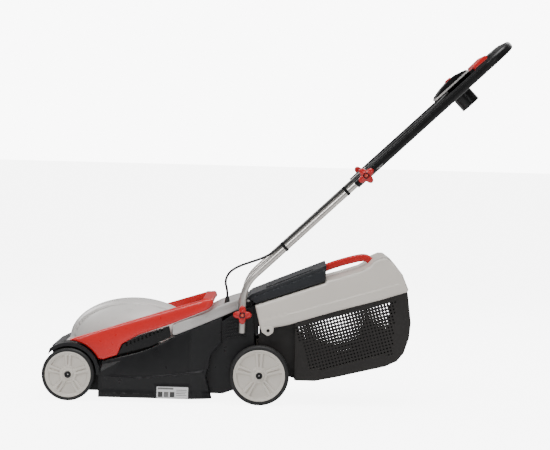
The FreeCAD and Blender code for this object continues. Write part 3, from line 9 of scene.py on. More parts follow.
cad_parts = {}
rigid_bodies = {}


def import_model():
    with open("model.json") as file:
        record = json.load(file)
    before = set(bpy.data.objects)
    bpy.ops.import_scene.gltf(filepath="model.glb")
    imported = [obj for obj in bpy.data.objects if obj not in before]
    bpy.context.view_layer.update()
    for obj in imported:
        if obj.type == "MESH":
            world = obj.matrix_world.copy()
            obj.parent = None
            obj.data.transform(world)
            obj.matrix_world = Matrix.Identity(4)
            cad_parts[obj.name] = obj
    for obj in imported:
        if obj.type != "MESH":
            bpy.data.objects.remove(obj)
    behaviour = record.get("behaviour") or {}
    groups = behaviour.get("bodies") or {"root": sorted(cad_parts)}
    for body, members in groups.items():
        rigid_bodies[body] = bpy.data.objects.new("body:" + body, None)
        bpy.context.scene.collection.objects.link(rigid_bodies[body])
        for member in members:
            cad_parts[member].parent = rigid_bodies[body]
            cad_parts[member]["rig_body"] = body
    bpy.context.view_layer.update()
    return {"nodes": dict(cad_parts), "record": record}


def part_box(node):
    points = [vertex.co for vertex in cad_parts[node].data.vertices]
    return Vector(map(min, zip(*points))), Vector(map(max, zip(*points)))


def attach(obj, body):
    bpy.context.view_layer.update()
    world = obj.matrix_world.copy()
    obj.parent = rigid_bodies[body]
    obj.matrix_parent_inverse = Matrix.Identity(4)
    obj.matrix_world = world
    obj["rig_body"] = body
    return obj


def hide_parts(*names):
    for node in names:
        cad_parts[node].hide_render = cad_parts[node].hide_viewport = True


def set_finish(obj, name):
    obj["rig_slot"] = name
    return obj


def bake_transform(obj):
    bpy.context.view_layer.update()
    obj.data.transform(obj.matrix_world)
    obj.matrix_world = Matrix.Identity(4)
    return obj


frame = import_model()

# Lengths are millimetres, Y is counted from the front axle and Z from the ground, until row() turns a point
# into the row's frame. In the handle's own frame a point is (x, along, up) from the upper pivot.
MM = 0.001
SIDES = (("left", 1), ("right", -1))


def centre_of(node):
    low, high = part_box(node)
    return (low + high) / 2


AXLE_Y = centre_of("front_axle").y
UPPER_PIVOT = (0.0, 832.5, 661.6)
LOWER_PIVOT = (0.0, 491.6, 254.6)
HANDLE_SLOPE = math.radians(43.6)
HANDLE_COS = math.cos(HANDLE_SLOPE)
HANDLE_SIN = math.sin(HANDLE_SLOPE)


def row(point):
    """A point in millimetres from the front axle, as metres in the row's frame."""
    return Vector((point[0] * MM, point[1] * MM + AXLE_Y, point[2] * MM))


def on_handle(point):
    """A point (x, along, up) of the handle, in millimetres from the front axle."""
    x, along, up = point
    return (x, UPPER_PIVOT[1] + along * HANDLE_COS - up * HANDLE_SIN,
            UPPER_PIVOT[2] + along * HANDLE_SIN + up * HANDLE_COS)


def smooth(value):
    """Smooth step from 0 at 0 to 1 at 1."""
    t = np.clip(value, 0.0, 1.0)
    return t * t * (3 - 2 * t)


def line(value, points):
    """Straight-line interpolation through (position, height) pairs."""
    return np.interp(value, [p[0] for p in points], [p[1] for p in points])


def around(steps):
    """Angles of a full turn in equal steps, in radians."""
    return np.linspace(0, 2 * math.pi, steps, endpoint=False)


def rectangle(left, low, right, high):
    """Corners of a rectangle, for rounded()."""
    return [(left, low), (right, low), (right, high), (left, high)]


# ---- Materials ----
def new_material(name):
    material = bpy.data.materials.new(name)
    material.use_nodes = True
    return material, material.node_tree, material.node_tree.nodes["Principled BSDF"]


def noise(tree, scale, detail=4.0, stretch=(1, 1, 1), distortion=0.0):
    """Noise over the object's own coordinates; returns its Factor socket."""
    coordinates = tree.nodes.new("ShaderNodeTexCoord")
    mapping = tree.nodes.new("ShaderNodeMapping")
    mapping.inputs["Scale"].default_value = stretch
    texture = tree.nodes.new("ShaderNodeTexNoise")
    texture.inputs["Scale"].default_value = scale
    texture.inputs["Detail"].default_value = detail
    texture.inputs["Distortion"].default_value = distortion
    tree.links.new(coordinates.outputs["Object"], mapping.inputs["Vector"])
    tree.links.new(mapping.outputs["Vector"], texture.inputs["Vector"])
    return texture.outputs["Factor" if "Factor" in texture.outputs else "Fac"]


def ramp(tree, factor, stops):
    """Colour ramp from (position, colour) stops; returns its colour socket."""
    node = tree.nodes.new("ShaderNodeValToRGB")
    elements = node.color_ramp.elements
    while len(elements) < len(stops):
        elements.new(0.5)
    for element, (position, colour) in zip(elements, stops):
        element.position = position
        element.color = (*colour, 1.0)
    tree.links.new(factor, node.inputs["Fac"])
    return node.outputs["Color"]


def spread(tree, factor, low, high):
    """Maps noise of about 0.3 to 0.7 onto low to high."""
    node = tree.nodes.new("ShaderNodeMapRange")
    node.inputs["From Min"].default_value = 0.3
    node.inputs["From Max"].default_value = 0.7
    node.inputs["To Min"].default_value = low
    node.inputs["To Max"].default_value = high
    tree.links.new(factor, node.inputs["Value"])
    return node.outputs["Result"]


def bumps(tree, shader, layers):
    """Bump from (factor, strength, depth in metres) layers, one after another."""
    rounding = tree.nodes.new("ShaderNodeBevel")
    rounding.samples = 4
    rounding.inputs["Radius"].default_value = 0.0009
    before = rounding.outputs["Normal"]
    for factor, strength, depth in layers:
        node = tree.nodes.new("ShaderNodeBump")
        node.inputs["Strength"].default_value = strength
        node.inputs["Distance"].default_value = depth
        tree.links.new(factor, node.inputs["Height"])
        tree.links.new(before, node.inputs["Normal"])
        before = node.outputs["Normal"]
    tree.links.new(before, shader.inputs["Normal"])


def shade(colour, factor):
    return tuple(min(1.0, c * factor) for c in colour)


def moulded(name, colour, roughness, tone=0.06, grain=0.25, grain_scale=1400, coat=0.0, vary=0.07, gloss=0.5):
    """Moulded plastic: slightly cloudy colour, fine spark-eroded grain and faint flow waves."""
    material, tree, shader = new_material(name)
    cloud = noise(tree, 9, 5)
    stops = [(0.3, shade(colour, 1 - tone)), (0.55, colour), (0.75, shade(colour, 1 + tone))]
    tree.links.new(ramp(tree, cloud, stops), shader.inputs["Base Color"])
    wear = noise(tree, 38, 6, distortion=0.4)
    tree.links.new(spread(tree, wear, roughness - vary, roughness + vary), shader.inputs["Roughness"])
    fine = noise(tree, grain_scale, 2)
    waves = noise(tree, 14, 2)
    bumps(tree, shader, [(fine, grain, 0.00012), (waves, 0.12, 0.0008)])
    shader.inputs["Specular IOR Level"].default_value = gloss
    shader.inputs["Coat Weight"].default_value = coat
    shader.inputs["Coat Roughness"].default_value = 0.18
    return material


def metal(name, colour, roughness, stretch=(1, 1, 1), scale=260, metallic=1.0, tone=0.1, grain=0.2):
    """Metal with streaks along the direction that stretch leaves long."""
    material, tree, shader = new_material(name)
    streaks = noise(tree, scale, 4, stretch)
    stops = [(0.3, shade(colour, 1 - tone)), (0.7, shade(colour, 1 + tone))]
    tree.links.new(ramp(tree, streaks, stops), shader.inputs["Base Color"])
    wear = spread(tree, noise(tree, 30, 5), roughness - 0.07, roughness + 0.07)
    tree.links.new(wear, shader.inputs["Roughness"])
    bumps(tree, shader, [(streaks, grain, 0.00008)])
    shader.inputs["Metallic"].default_value = metallic
    return material


def rubber(name, colour, roughness=0.62):
    """Rubber with a dusty bloom and a fine skin."""
    material, tree, shader = new_material(name)
    dust = noise(tree, 26, 7, distortion=0.6)
    stops = [(0.35, colour), (0.62, shade(colour, 1.25)), (0.85, shade(colour, 1.9))]
    tree.links.new(ramp(tree, dust, stops), shader.inputs["Base Color"])
    tree.links.new(spread(tree, dust, roughness - 0.08, roughness + 0.1), shader.inputs["Roughness"])
    bumps(tree, shader, [(noise(tree, 900, 3), 0.3, 0.00015)])
    return material


MATERIALS = {
    "deck": moulded("deck_plastic", (0.009, 0.009, 0.010), 0.34, tone=0.16, grain=0.3, gloss=0.3),
    "trim": moulded("trim_plastic", (0.006, 0.006, 0.0065), 0.32, tone=0.15, grain=0.2, gloss=0.3),
    "flap": moulded("flap_plastic", (0.020, 0.022, 0.026), 0.42, tone=0.12, grain=0.2, gloss=0.3),
    "basket": moulded("basket_plastic", (0.020, 0.018, 0.017), 0.44, tone=0.18, grain=0.2, gloss=0.3),
    "cream": moulded("cream_plastic", (0.68, 0.635, 0.575), 0.34, tone=0.02, grain=0.12, coat=0.12),
    "hood": moulded("hood_plastic", (0.63, 0.61, 0.585), 0.32, tone=0.02, grain=0.1, coat=0.15),
    "wheel": moulded("wheel_plastic", (0.64, 0.60, 0.54), 0.4, tone=0.03, grain=0.15),
    "silver": moulded("silver_plastic", (0.50, 0.485, 0.47), 0.34, tone=0.04, grain=0.18, coat=0.1),
    "smoke": moulded("smoke_plastic", (0.16, 0.16, 0.16), 0.3, tone=0.06, grain=0.15, coat=0.2),
    "red": moulded("red_plastic", (0.62, 0.012, 0.012), 0.3, tone=0.04, grain=0.05, coat=0.05, vary=0.03),
    "red_knob": moulded("red_knob_plastic", (0.50, 0.006, 0.008), 0.28, tone=0.06, grain=0.12, coat=0.2),
    "label": moulded("label_film", (0.72, 0.72, 0.72), 0.3, tone=0.02, grain=0.05, coat=0.2),
    "label_ink": moulded("label_ink", (0.05, 0.05, 0.05), 0.5, tone=0.1),
    "tyre": rubber("tyre_rubber", (0.007, 0.007, 0.007)),
    "cable": rubber("cable_jacket", (0.008, 0.008, 0.008), 0.42),
    "tube": metal("silver_tube", (0.56, 0.53, 0.50), 0.33, (6, 1, 1), 160, metallic=0.85, tone=0.05),
    "steel": metal("zinc_steel", (0.58, 0.58, 0.57), 0.3, (8, 1, 1), 120),
    "blade": metal("blade_paint", (0.03, 0.03, 0.032), 0.42, (1, 4, 1), 200, metallic=0.3),
    "laminations": metal("lamination_steel", (0.28, 0.27, 0.26), 0.42, (1, 1, 30), 60),
    "can": metal("motor_can_paint", (0.10, 0.10, 0.11), 0.4, metallic=0.4),
    "brass": metal("brass_bright", (0.78, 0.60, 0.28), 0.25, scale=300),
    "fan": moulded("fan_plastic", (0.05, 0.05, 0.05), 0.5),
    "capacitor": moulded("capacitor_can", (0.55, 0.55, 0.52), 0.35),
}


# ---- Mesh builders ----
def finish_piece(name, points, faces, material, body, replaces=(), slot=None, flat=False, to_row=row):
    """A mesh object from millimetre points, made smooth, placed and riding on a body."""
    mesh = bpy.data.meshes.new(name)
    mesh.from_pydata([to_row(p) for p in points], [], faces)
    mesh.validate()
    edit = bmesh.new()
    edit.from_mesh(mesh)
    bmesh.ops.remove_doubles(edit, verts=edit.verts, dist=0.000004)
    bmesh.ops.recalc_face_normals(edit, faces=edit.faces)
    edit.to_mesh(mesh)
    edit.free()
    piece = bpy.data.objects.new(name, mesh)
    bpy.context.scene.collection.objects.link(piece)
    mesh.materials.append(MATERIALS[material])
    for polygon in mesh.polygons:
        polygon.use_smooth = not flat
    if body:
        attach(piece, body)
    if replaces:
        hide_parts(*replaces)
    if slot:
        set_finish(piece, slot)
    return piece


def soften(piece, width, segments=3, angle=30):
    """Rounds the sharp edges."""
    bevel = piece.modifiers.new("edge_rounding", "BEVEL")
    bevel.width = width * MM
    bevel.segments = segments
    bevel.limit_method = "ANGLE"
    bevel.angle_limit = math.radians(angle)
    bevel.harden_normals = True
    bevel.miter_outer = "MITER_ARC"
    return piece


def crisp(piece, angle=35):
    """Keeps edges sharper than an angle sharp in the shading."""
    edit = bmesh.new()
    edit.from_mesh(piece.data)
    for edge in edit.edges:
        if len(edge.link_faces) == 2 and edge.calc_face_angle(0) > math.radians(angle):
            edge.smooth = False
    edit.to_mesh(piece.data)
    edit.free()
    return piece


def arc(centre, radius, start, stop, steps=12):
    """Points on an arc, angles in degrees."""
    return [(centre[0] + radius * math.cos(math.radians(a)), centre[1] + radius * math.sin(math.radians(a)))
            for a in np.linspace(start, stop, steps)]


def rounded(points, radii, steps=7):
    """Closed outline with its corners rounded; radii is one radius or one for each corner."""
    if not hasattr(radii, "__len__"):
        radii = [radii] * len(points)
    made = []
    count = len(points)
    for index, radius in enumerate(radii):
        corner = Vector(points[index])
        before = Vector(points[index - 1]) - corner
        after = Vector(points[(index + 1) % count]) - corner
        opening = before.angle(after, math.pi)
        if radius <= 0 or opening > math.radians(176):
            made.append(tuple(corner))
            continue
        reach = radius / math.tan(opening / 2)
        reach = min(reach, before.length * 0.48, after.length * 0.48)
        start = corner + before.normalized() * reach
        stop = corner + after.normalized() * reach
        for t in np.linspace(0, 1, steps):
            made.append(tuple(start * (1 - t) ** 2 + corner * 2 * t * (1 - t) + stop * t ** 2))
    return made


def prism(name, outline, low, high, material, body, bevel=1.5, shift=None, segments=3, **options):
    """A side outline (Y, Z) between two X planes. shift(x, y, z) may move its points."""
    count = len(outline)
    points = [(x, y, z) for x in (low, high) for y, z in outline]
    if shift:
        points = [shift(*p) for p in points]
    faces = [tuple(range(count)), tuple(reversed(range(count, 2 * count)))]
    faces += [(i, (i + 1) % count, count + (i + 1) % count, count + i) for i in range(count)]
    piece = finish_piece(name, points, faces, material, body, **options)
    return soften(piece, bevel, segments) if bevel else crisp(piece)


def rings(name, loops, material, body, closed=False, caps=True, **options):
    """Skin over loops of points, each closed. closed joins the last loop to the first."""
    count = len(loops[0])
    points = [p for loop in loops for p in loop]
    faces = []
    last = len(loops) if closed else len(loops) - 1
    for i in range(last):
        a = i * count
        b = ((i + 1) % len(loops)) * count
        faces += [(a + j, a + (j + 1) % count, b + (j + 1) % count, b + j) for j in range(count)]
    if caps and not closed:
        faces.append(tuple(range(count)))
        faces.append(tuple(range(len(points) - count, len(points))))
    return finish_piece(name, points, faces, material, body, **options)


def turned(name, profile, centre, side, material, body, steps=64, **options):
    """Closed profile of (x, radius) turned about the X axis through centre (x, y, z)."""
    x0, y0, z0 = centre
    loops = [[(x0 + side * x, y0 + radius * math.cos(a), z0 + radius * math.sin(a)) for a in around(steps)]
             for x, radius in profile]
    return rings(name, loops, material, body, closed=True, **options)


def sweep(name, path, section, material, body, normal=(1, 0, 0), scales=None, **options):
    """Closed section (side, up) swept along a path in a plane, whose normal is the section's side."""
    path = [Vector(p) for p in path]
    normal = Vector(normal).normalized()
    loops = []
    for index, point in enumerate(path):
        ahead = path[min(index + 1, len(path) - 1)]
        behind = path[max(index - 1, 0)]
        up = normal.cross((ahead - behind).normalized())
        wide, tall = scales[index] if scales else (1, 1)
        loops.append([tuple(point + normal * a * wide + up * b * tall) for a, b in section])
    return rings(name, loops, material, body, **options)


def box_section(wide, tall, radius, steps=5):
    """Rounded rectangle as a section."""
    return rounded(rectangle(-wide / 2, -tall / 2, wide / 2, tall / 2), radius, steps)


# ---- Camera, light, floor ----
def make_camera():
    """Camera beside the mower's left, a little above its middle and 6 m away."""
    place = Vector((6.205, 0.0300, 0.7482))
    aim = Vector((-2120.0, -12.85, -82.36)).normalized()
    roll = math.radians(1.5)
    right = Vector((0, math.cos(roll), math.sin(roll)))
    right = (right - aim * right.dot(aim)).normalized()
    up = right.cross(aim)
    data = bpy.data.cameras.new("camera")
    data.sensor_width = 36.0
    data.lens = 138.8
    camera = bpy.data.objects.new("camera", data)
    camera.matrix_world = Matrix((
        (right.x, up.x, -aim.x, place.x), (right.y, up.y, -aim.y, place.y),
        (right.z, up.z, -aim.z, place.z), (0, 0, 0, 1)))
    bpy.context.scene.collection.objects.link(camera)
    bpy.context.scene.camera = camera


def area_light(name, place, target, size, power, colour=(1, 1, 1)):
    data = bpy.data.lights.new(name, "AREA")
    data.shape = "RECTANGLE"
    data.size, data.size_y = size
    data.energy = power
    data.color = colour
    light = bpy.data.objects.new(name, data)
    light.location = place
    light.rotation_mode = "QUATERNION"
    light.rotation_quaternion = (Vector(target) - Vector(place)).to_track_quat("-Z", "Y")
    bpy.context.scene.collection.objects.link(light)


def seen_or_not(tree, seen, unseen):
    """One value where the camera sees it directly and another for the light it gives."""
    path = tree.nodes.new("ShaderNodeLightPath")
    chosen = tree.nodes.new("ShaderNodeMapRange")
    chosen.inputs["To Min"].default_value = unseen
    chosen.inputs["To Max"].default_value = seen
    tree.links.new(path.outputs["Is Camera Ray"], chosen.inputs["Value"])
    return chosen.outputs["Result"]


def make_stage():
    world = bpy.data.worlds.new("studio")
    world.use_nodes = True
    sky = world.node_tree.nodes["Background"]
    sky.inputs["Color"].default_value = (1, 1, 1, 1)
    world.node_tree.links.new(seen_or_not(world.node_tree, 9.0, 0.24), sky.inputs["Strength"])
    bpy.context.scene.world = world
    area_light("key", (2.4, -1.6, 2.6), (0, 0, 0.2), (1.4, 1.0), 58)
    area_light("top", (0.4, 0.5, 3.4), (0, 0, 0.2), (2.2, 2.2), 105)
    area_light("side", (4.2, 2.2, 1.4), (0, 0.1, 0.3), (0.5, 1.6), 12)
    area_light("rear", (-2.8, 1.6, 2.4), (0, 0.1, 0.3), (1.8, 1.8), 40)
    area_light("far", (-2.6, -2.2, 2.0), (0, -0.1, 0.3), (1.8, 1.8), 40)
    mesh = bpy.data.meshes.new("floor")
    wide = 60
    mesh.from_pydata([(x, y, 0) for x, y in rectangle(-wide, -wide, wide, wide)], [], [(0, 1, 2, 3)])
    floor = bpy.data.objects.new("floor", mesh)
    bpy.context.scene.collection.objects.link(floor)
    material, tree, shader = new_material("pale_floor")
    tint = noise(tree, 0.8, 3)
    tree.links.new(ramp(tree, tint, [(0.3, (0.88, 0.88, 0.88)), (0.7, (0.90, 0.90, 0.90))]),
                   shader.inputs["Base Color"])
    shader.inputs["Roughness"].default_value = 0.6
    shader.inputs["Emission Color"].default_value = (1, 1, 1, 1)
    tree.links.new(seen_or_not(tree, 6.5, 0.0), shader.inputs["Emission Strength"])
    mesh.materials.append(material)


make_camera()
make_stage()


# ---- Wheels ----
FRONT_WHEEL = (0, 75)
REAR_WHEEL = (544, 85)
WHEEL_FACE = 205.0
WHEEL_WIDTH = 42
SPOKES = 5
SPOKE_TURN = 0.33
TREAD_BLOCKS = 84


def disc_depth(radius, angle, outer):
    """How far the disc's outer face lies below its rim: dish, five panels and five split spokes."""
    pitch = 2 * math.pi / SPOKES
    from_spoke = np.abs((angle + pitch / 2) % pitch - pitch / 2)
    beside = radius * np.sin(from_spoke)
    spoke_half = 5.2 + 0.105 * (radius - 14)
    lip = smooth((outer - 3.2 - radius) / 3.0)
    hub = smooth((radius - 13.5) / 2.5)
    dish = 3.4 * lip * hub + 2.4 * hub * smooth((outer - 4 - radius) / 26)
    panel_reach = smooth((radius - 21) / 5) * smooth((outer - 8.5 - radius) / 2.6)
    panel = 6.0 * smooth((beside - spoke_half) / 2.0) * panel_reach
    groove_half = 0.9 + 0.045 * np.maximum(radius - 20, 0)
    groove_reach = smooth((radius - 22) / 6) * smooth((outer - 10 - radius) / 3)
    groove = 4.6 * smooth((groove_half + 0.8 - beside) / 1.2) * groove_reach
    return dish + panel + groove


def make_disc(name, body, centre, side, outer):
    steps = 300
    angles = around(steps)
    radii = list(np.concatenate([np.linspace(6.05, 20, 8), np.linspace(21, outer - 12, 26),
                                 np.linspace(outer - 11, outer - 0.8, 12)]))
    loops = []

    def loop(radius, depths):
        return [(side * (WHEEL_FACE - d), centre[0] + radius * math.cos(a + SPOKE_TURN),
                 centre[1] + radius * math.sin(a + SPOKE_TURN)) for a, d in zip(angles, depths)]

    for radius in radii:
        loops.append(loop(radius, disc_depth(np.full(steps, radius), angles, outer)))
    rim_and_back = ((outer, 0.6), (outer, 41.4), (outer - 0.8, WHEEL_WIDTH), (outer - 6, WHEEL_WIDTH),
                    (outer - 7, 41), (outer - 7, 21), (outer - 9, 19.5), (16, 19.5), (14, 21), (14, 41),
                    (13, WHEEL_WIDTH), (6.05, WHEEL_WIDTH))
    for radius, depth in rim_and_back:
        loops.append(loop(radius, np.full(steps, depth)))
    piece = rings(name + "_disc", loops, "wheel", body, closed=True, replaces=[name], slot="cream")
    crisp(piece, 50)


def make_tyre(name, body, centre, side, inner, outer):
    angles = around(TREAD_BLOCKS * 4)
    profile = [(1.6, inner), (0.5, inner + 0.5), (0.1, inner + 1.8), (0.6, inner + 3.0), (0.7, outer - 6.5),
               (0.2, outer - 5.6), (0.3, outer - 4.6), (1.4, outer - 2.6), (3.2, outer - 1.1),
               (5.2, outer - 0.3)]
    tread = [5.9, 7.0, 12.6, 13.0, 15.0, 15.4, 20.0, 22.0, 26.6, 27.0, 29.0, 29.4, 35.0, 36.1]
    rows = [(depth, radius, 0.0) for depth, radius in profile]
    for depth in tread:
        channel = 1.3 if 12.9 < depth < 15.1 or 26.9 < depth < 29.1 else 0.0
        ribbed = 1.1 if 6.5 < depth < 35.5 else 0.0
        rows.append((depth, outer - channel, ribbed))
    rows += [(WHEEL_WIDTH - depth, radius, 0.0) for depth, radius in reversed(profile)]
    loops = []
    for depth, radius, ribbed in rows:
        loop = []
        for index, angle in enumerate(angles):
            low = ribbed * (1.0 if index % 4 == 0 else 0.0)
            turn = angle + 0.012 * abs(depth - 21) / 4
            loop.append((side * (WHEEL_FACE - depth), centre[0] + (radius - low) * math.cos(turn),
                         centre[1] + (radius - low) * math.sin(turn)))
        loops.append(loop)
    node = body.replace("wheel", "tyre")
    crisp(rings(name, loops, "tyre", body, closed=True, replaces=[node], slot="tyre_black"), 40)


def make_cap(name, body, centre, side):
    profile = ((0, 2.0, 0), (0, 9.5, 0), (-3.2, 9.5, 0), (-4.6, 8.6, 0), (-5, 7.2, 0), (-4.9, 5.0, 0),
               (-4.3, 4.4, 0.35), (-1.6, 4.1, 0.35), (-1.5, 2.0, 0))
    loops = []
    for depth, radius, hexed in profile:
        loops.append([(side * (WHEEL_FACE - depth),
                       centre[0] + radius * (1 + hexed * 0.16 * math.cos(6 * a)) * math.cos(a),
                       centre[1] + radius * (1 + hexed * 0.16 * math.cos(6 * a)) * math.sin(a))
                      for a in around(48)])
    node = body.replace("wheel", "hub_cap")
    crisp(rings(name, loops, "trim", body, closed=True, replaces=[node], slot="trim_black"), 45)


WHEELS = (("front", FRONT_WHEEL, 65, 75), ("rear", REAR_WHEEL, 73.5, 85))
for wheel_end, wheel_centre, disc_radius, tyre_radius in WHEELS:
    for label, side in SIDES:
        wheel_body = f"{wheel_end}_wheel_{label}"
        make_disc(wheel_body, wheel_body, wheel_centre, side, disc_radius)
        make_tyre(f"{wheel_end}_tyre_{label}_tread", wheel_body, wheel_centre, side, disc_radius, tyre_radius)
        make_cap(f"{wheel_end}_cap_{label}_dome", wheel_body, wheel_centre, side)


# ---- Relief panels: an exact side outline with a modelled face ----
def inside(points, outline):
    """Which points lie inside a closed outline."""
    found = np.zeros(len(points), bool)
    corners = np.asarray(outline, float)
    for (y0, z0), (y1, z1) in zip(corners, np.roll(corners, -1, axis=0)):
        if z0 != z1:
            crosses = (z0 > points[:, 1]) != (z1 > points[:, 1])
            found ^= crosses & (points[:, 0] < (y1 - y0) * (points[:, 1] - z0) / (z1 - z0) + y0)
    return found


def to_line(points, corners, closed=False):
    """Distance from each point to a line of corners."""
    corners = np.asarray(corners, float)
    best = np.full(len(points), 1e9)
    ends = np.roll(corners, -1, axis=0) if closed else corners[1:]
    for start, stop in zip(corners, ends):
        run = stop - start
        t = np.clip(((points - start) @ run) / max(run @ run, 1e-9), 0, 1)
        best = np.minimum(best, np.hypot(*(points - start - t[:, None] * run).T))
    return best


def spaced(corners, gap, closed=False):
    """The line with points added so that none are further apart than gap."""
    made = []
    ends = list(corners[1:]) + ([corners[0]] if closed else [])
    for start, stop in zip(corners, ends):
        steps = max(1, math.ceil(math.dist(start, stop) / gap))
        made += [tuple(np.add(start, np.subtract(stop, start) * k / steps)) for k in range(steps)]
    return made if closed else made + [tuple(corners[-1])]


def relief(name, outline, face, inner, side, material, body, edge=1.5, grid=5.0, creases=(), holes=(),
           hole_radius=2.6, **options):
    """Solid between the face |X| = face(points) and inner, a plane's |X| or another such face.

    Its outer edge is rounded, and it may have round holes."""
    outline = spaced(outline, 5, closed=True)
    border = np.asarray(outline, float)
    low, high = border.min(0), border.max(0)
    across, upward = np.meshgrid(np.arange(low[0], high[0], grid), np.arange(low[1], high[1], grid))
    extra = [np.column_stack([across.ravel(), upward.ravel()])]
    extra[0] = extra[0][to_line(extra[0], border, True) > edge + grid * 0.4]
    run = np.roll(border, -1, axis=0) - np.roll(border, 1, axis=0)
    normal = np.column_stack([-run[:, 1], run[:, 0]]) / np.maximum(np.hypot(*run.T), 1e-9)[:, None]
    area = np.sum(border[:, 0] * np.roll(border[:, 1], -1) - np.roll(border[:, 0], -1) * border[:, 1])
    for share in (0.05, 0.2, 0.5, 1.0) if edge > 3 else (0.12, 0.4, 1.0):
        ring = border + normal * math.copysign(edge * share, area)
        extra.append(ring[to_line(ring, border, True) > edge * share * 0.93])
    for crease in creases:
        corners = np.asarray(spaced(crease, 4), float)
        for drop in (-1.8, -0.7, 0.7, 1.8):
            extra.append(corners + (0, drop))
    extra = np.concatenate(extra)
    extra = extra[inside(extra, border) & (to_line(extra, border, True) > edge * 0.1)]
    count = len(border)
    edges = [(i, (i + 1) % count) for i in range(count)]
    rims = [arc(hole, hole_radius, 0, 315, 8) for hole in holes]
    for index in range(len(rims)):
        first = count + 8 * index
        edges += [(first + i, first + (i + 1) % 8) for i in range(8)]
    if rims:
        hearts = np.asarray(holes, float)
        extra = extra[[np.min(np.hypot(*(hearts - p).T)) > hole_radius + 1 for p in extra]]
    flat = [Vector(p) for p in np.concatenate([border] + rims + [extra])]
    made, _, triangles, *_ = geometry.delaunay_2d_cdt(flat, edges, [list(range(count))], 1, 1e-4)
    spots = np.array([tuple(v) for v in made])
    if rims:
        middles = np.array([spots[list(t)].mean(0) for t in triangles])
        triangles = [t for t, p in zip(triangles, middles)
                     if np.min(np.hypot(*(hearts - p).T)) > hole_radius * 0.85]
    depth = np.clip(to_line(spots, border, True) / edge, 0, 1)
    outer = face(spots) - edge * (1 - np.sqrt(1 - (1 - depth) ** 2))
    backs = inner(spots) if callable(inner) else np.full(len(spots), inner)
    points = [(side * x, y, z) for xs in (outer, backs) for x, (y, z) in zip(xs, spots)]
    shift = len(spots)
    faces = [tuple(t) for t in triangles] + [tuple(i + shift for i in reversed(t)) for t in triangles]
    used = {}
    for triangle in triangles:
        for a, b in zip(triangle, list(triangle[1:]) + [triangle[0]]):
            used[frozenset((a, b))] = None if frozenset((a, b)) in used else (a, b)
    faces += [(pair[1], pair[0], pair[0] + shift, pair[1] + shift) for pair in used.values() if pair]
    return crisp(finish_piece(name, points, faces, material, body, **options), 55)


# ---- Finish of the CAD nodes, which stay where nothing below replaces them ----
FINISH_OF_SLOT = {
    "deck_black": "deck", "trim_black": "trim", "cream": "cream", "red": "red", "silver_grey": "silver",
    "basket_black": "basket", "tyre_black": "tyre", "tube_silver": "tube", "steel": "steel",
    "blade_steel": "blade", "laminations": "laminations", "motor_can": "can", "fan_plastic": "fan",
    "cable_rubber": "cable", "label_white": "label", "brass_pin": "brass", "capacitor_grey": "capacitor"}
FINISH_OF_NODE = {"motor_hood": "hood", "rear_flap": "flap"}
for subpart in frame["record"]["subparts"]:
    covered = frame["nodes"][subpart["node"]]
    covered.data.materials.clear()
    covered.data.materials.append(
        MATERIALS[FINISH_OF_NODE.get(subpart["node"], FINISH_OF_SLOT[subpart["material_slot"]])])
    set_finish(covered, subpart["material_slot"])


def edited(node, name, change, angle=30, drop=None):
    """Takes a CAD node's place with a copy of its mesh, its points changed and some faces dropped."""
    source = frame["nodes"][node]
    mesh = source.data.copy()
    mesh.name = name
    piece = bpy.data.objects.new(name, mesh)
    bpy.context.scene.collection.objects.link(piece)
    edit = bmesh.new()
    edit.from_mesh(mesh)
    bmesh.ops.remove_doubles(edit, verts=edit.verts, dist=0.00001)
    if drop:
        dropped = [f for f in edit.faces if len({v.co.x > 0 for v in f.verts}) == 1
                   and all(drop(v.co.x / MM, (v.co.y - AXLE_Y) / MM) for v in f.verts)]
        bmesh.ops.delete(edit, geom=dropped, context="FACES")
    for vert in edit.verts:
        x, y, z = vert.co.x / MM, (vert.co.y - AXLE_Y) / MM, vert.co.z / MM
        vert.co = row(change(x, y, z))
    edit.to_mesh(mesh)
    edit.free()
    for polygon in mesh.polygons:
        polygon.use_smooth = True
    crisp(piece, angle)
    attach(piece, source["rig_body"])
    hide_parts(node)
    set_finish(piece, source["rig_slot"])
    return piece


# ---- Deck: skirts with a crease and a lower ledge, fenders ----
CREASE = [(86, 73.5), (100, 72.6), (205, 68), (300, 79), (382, 91), (400, 93)]
SKIRT_TOP = [(86, 112), (98, 116), (185, 137), (230, 153), (275, 174), (303, 192), (434, 247)]
REAR_ARCH = [(409, 11), (391, 76), (399, 100), (404, 137), (434, 172)]


def skirt_reach(y):
    """Half width of the skirt, which narrows towards the handle."""
    return line(y, [(0, 190), (346, 190), (474, 146), (600, 146)])


def skirt_face(points):
    y, z = points.T
    crease = line(y, CREASE)
    top = line(y, SKIRT_TOP)
    climb = np.clip((z - crease) / np.maximum(top - crease, 1), 0, 1)
    upper = -8.2 - 6.0 * climb ** 2.2 - 3.0 * np.clip((250 - y) / 170, 0, 1)
    ledge = smooth((crease - z + 1.8) / 3.6)
    bulge = -2.2 * np.clip((crease - z) / 60, 0, 1) * (1 - smooth((35 - z) / 10))
    flange_top = 19 + 5 * smooth((y - 127) / 3) * smooth((210 - y) / 3)
    flange = smooth((flange_top - z + 0.8) / 1.6)
    lower = -1.2 + bulge + 1.2 * flange
    pad = smooth((y - 244) / 3) * smooth((350 - y) / 3) * smooth((52 - z) / 3)
    lower = lower * (1 - pad)
    lip = 1 - smooth((to_line(points, REAR_ARCH) - 4.0) / 1.6)
    corner = 15 * (1 - np.sqrt(1 - np.clip((y - 378) / 32, 0, 1) ** 2)) * smooth((96 - z) / 6)
    return np.maximum(skirt_reach(y) + upper * (1 - ledge) + (lower - corner) * ledge + 1.6 * lip, 147)


def skirt_back(points):
    """Inner side of the skirt, clear of the blade's circle."""
    return np.minimum(168, skirt_reach(points[:, 0]) - 23)


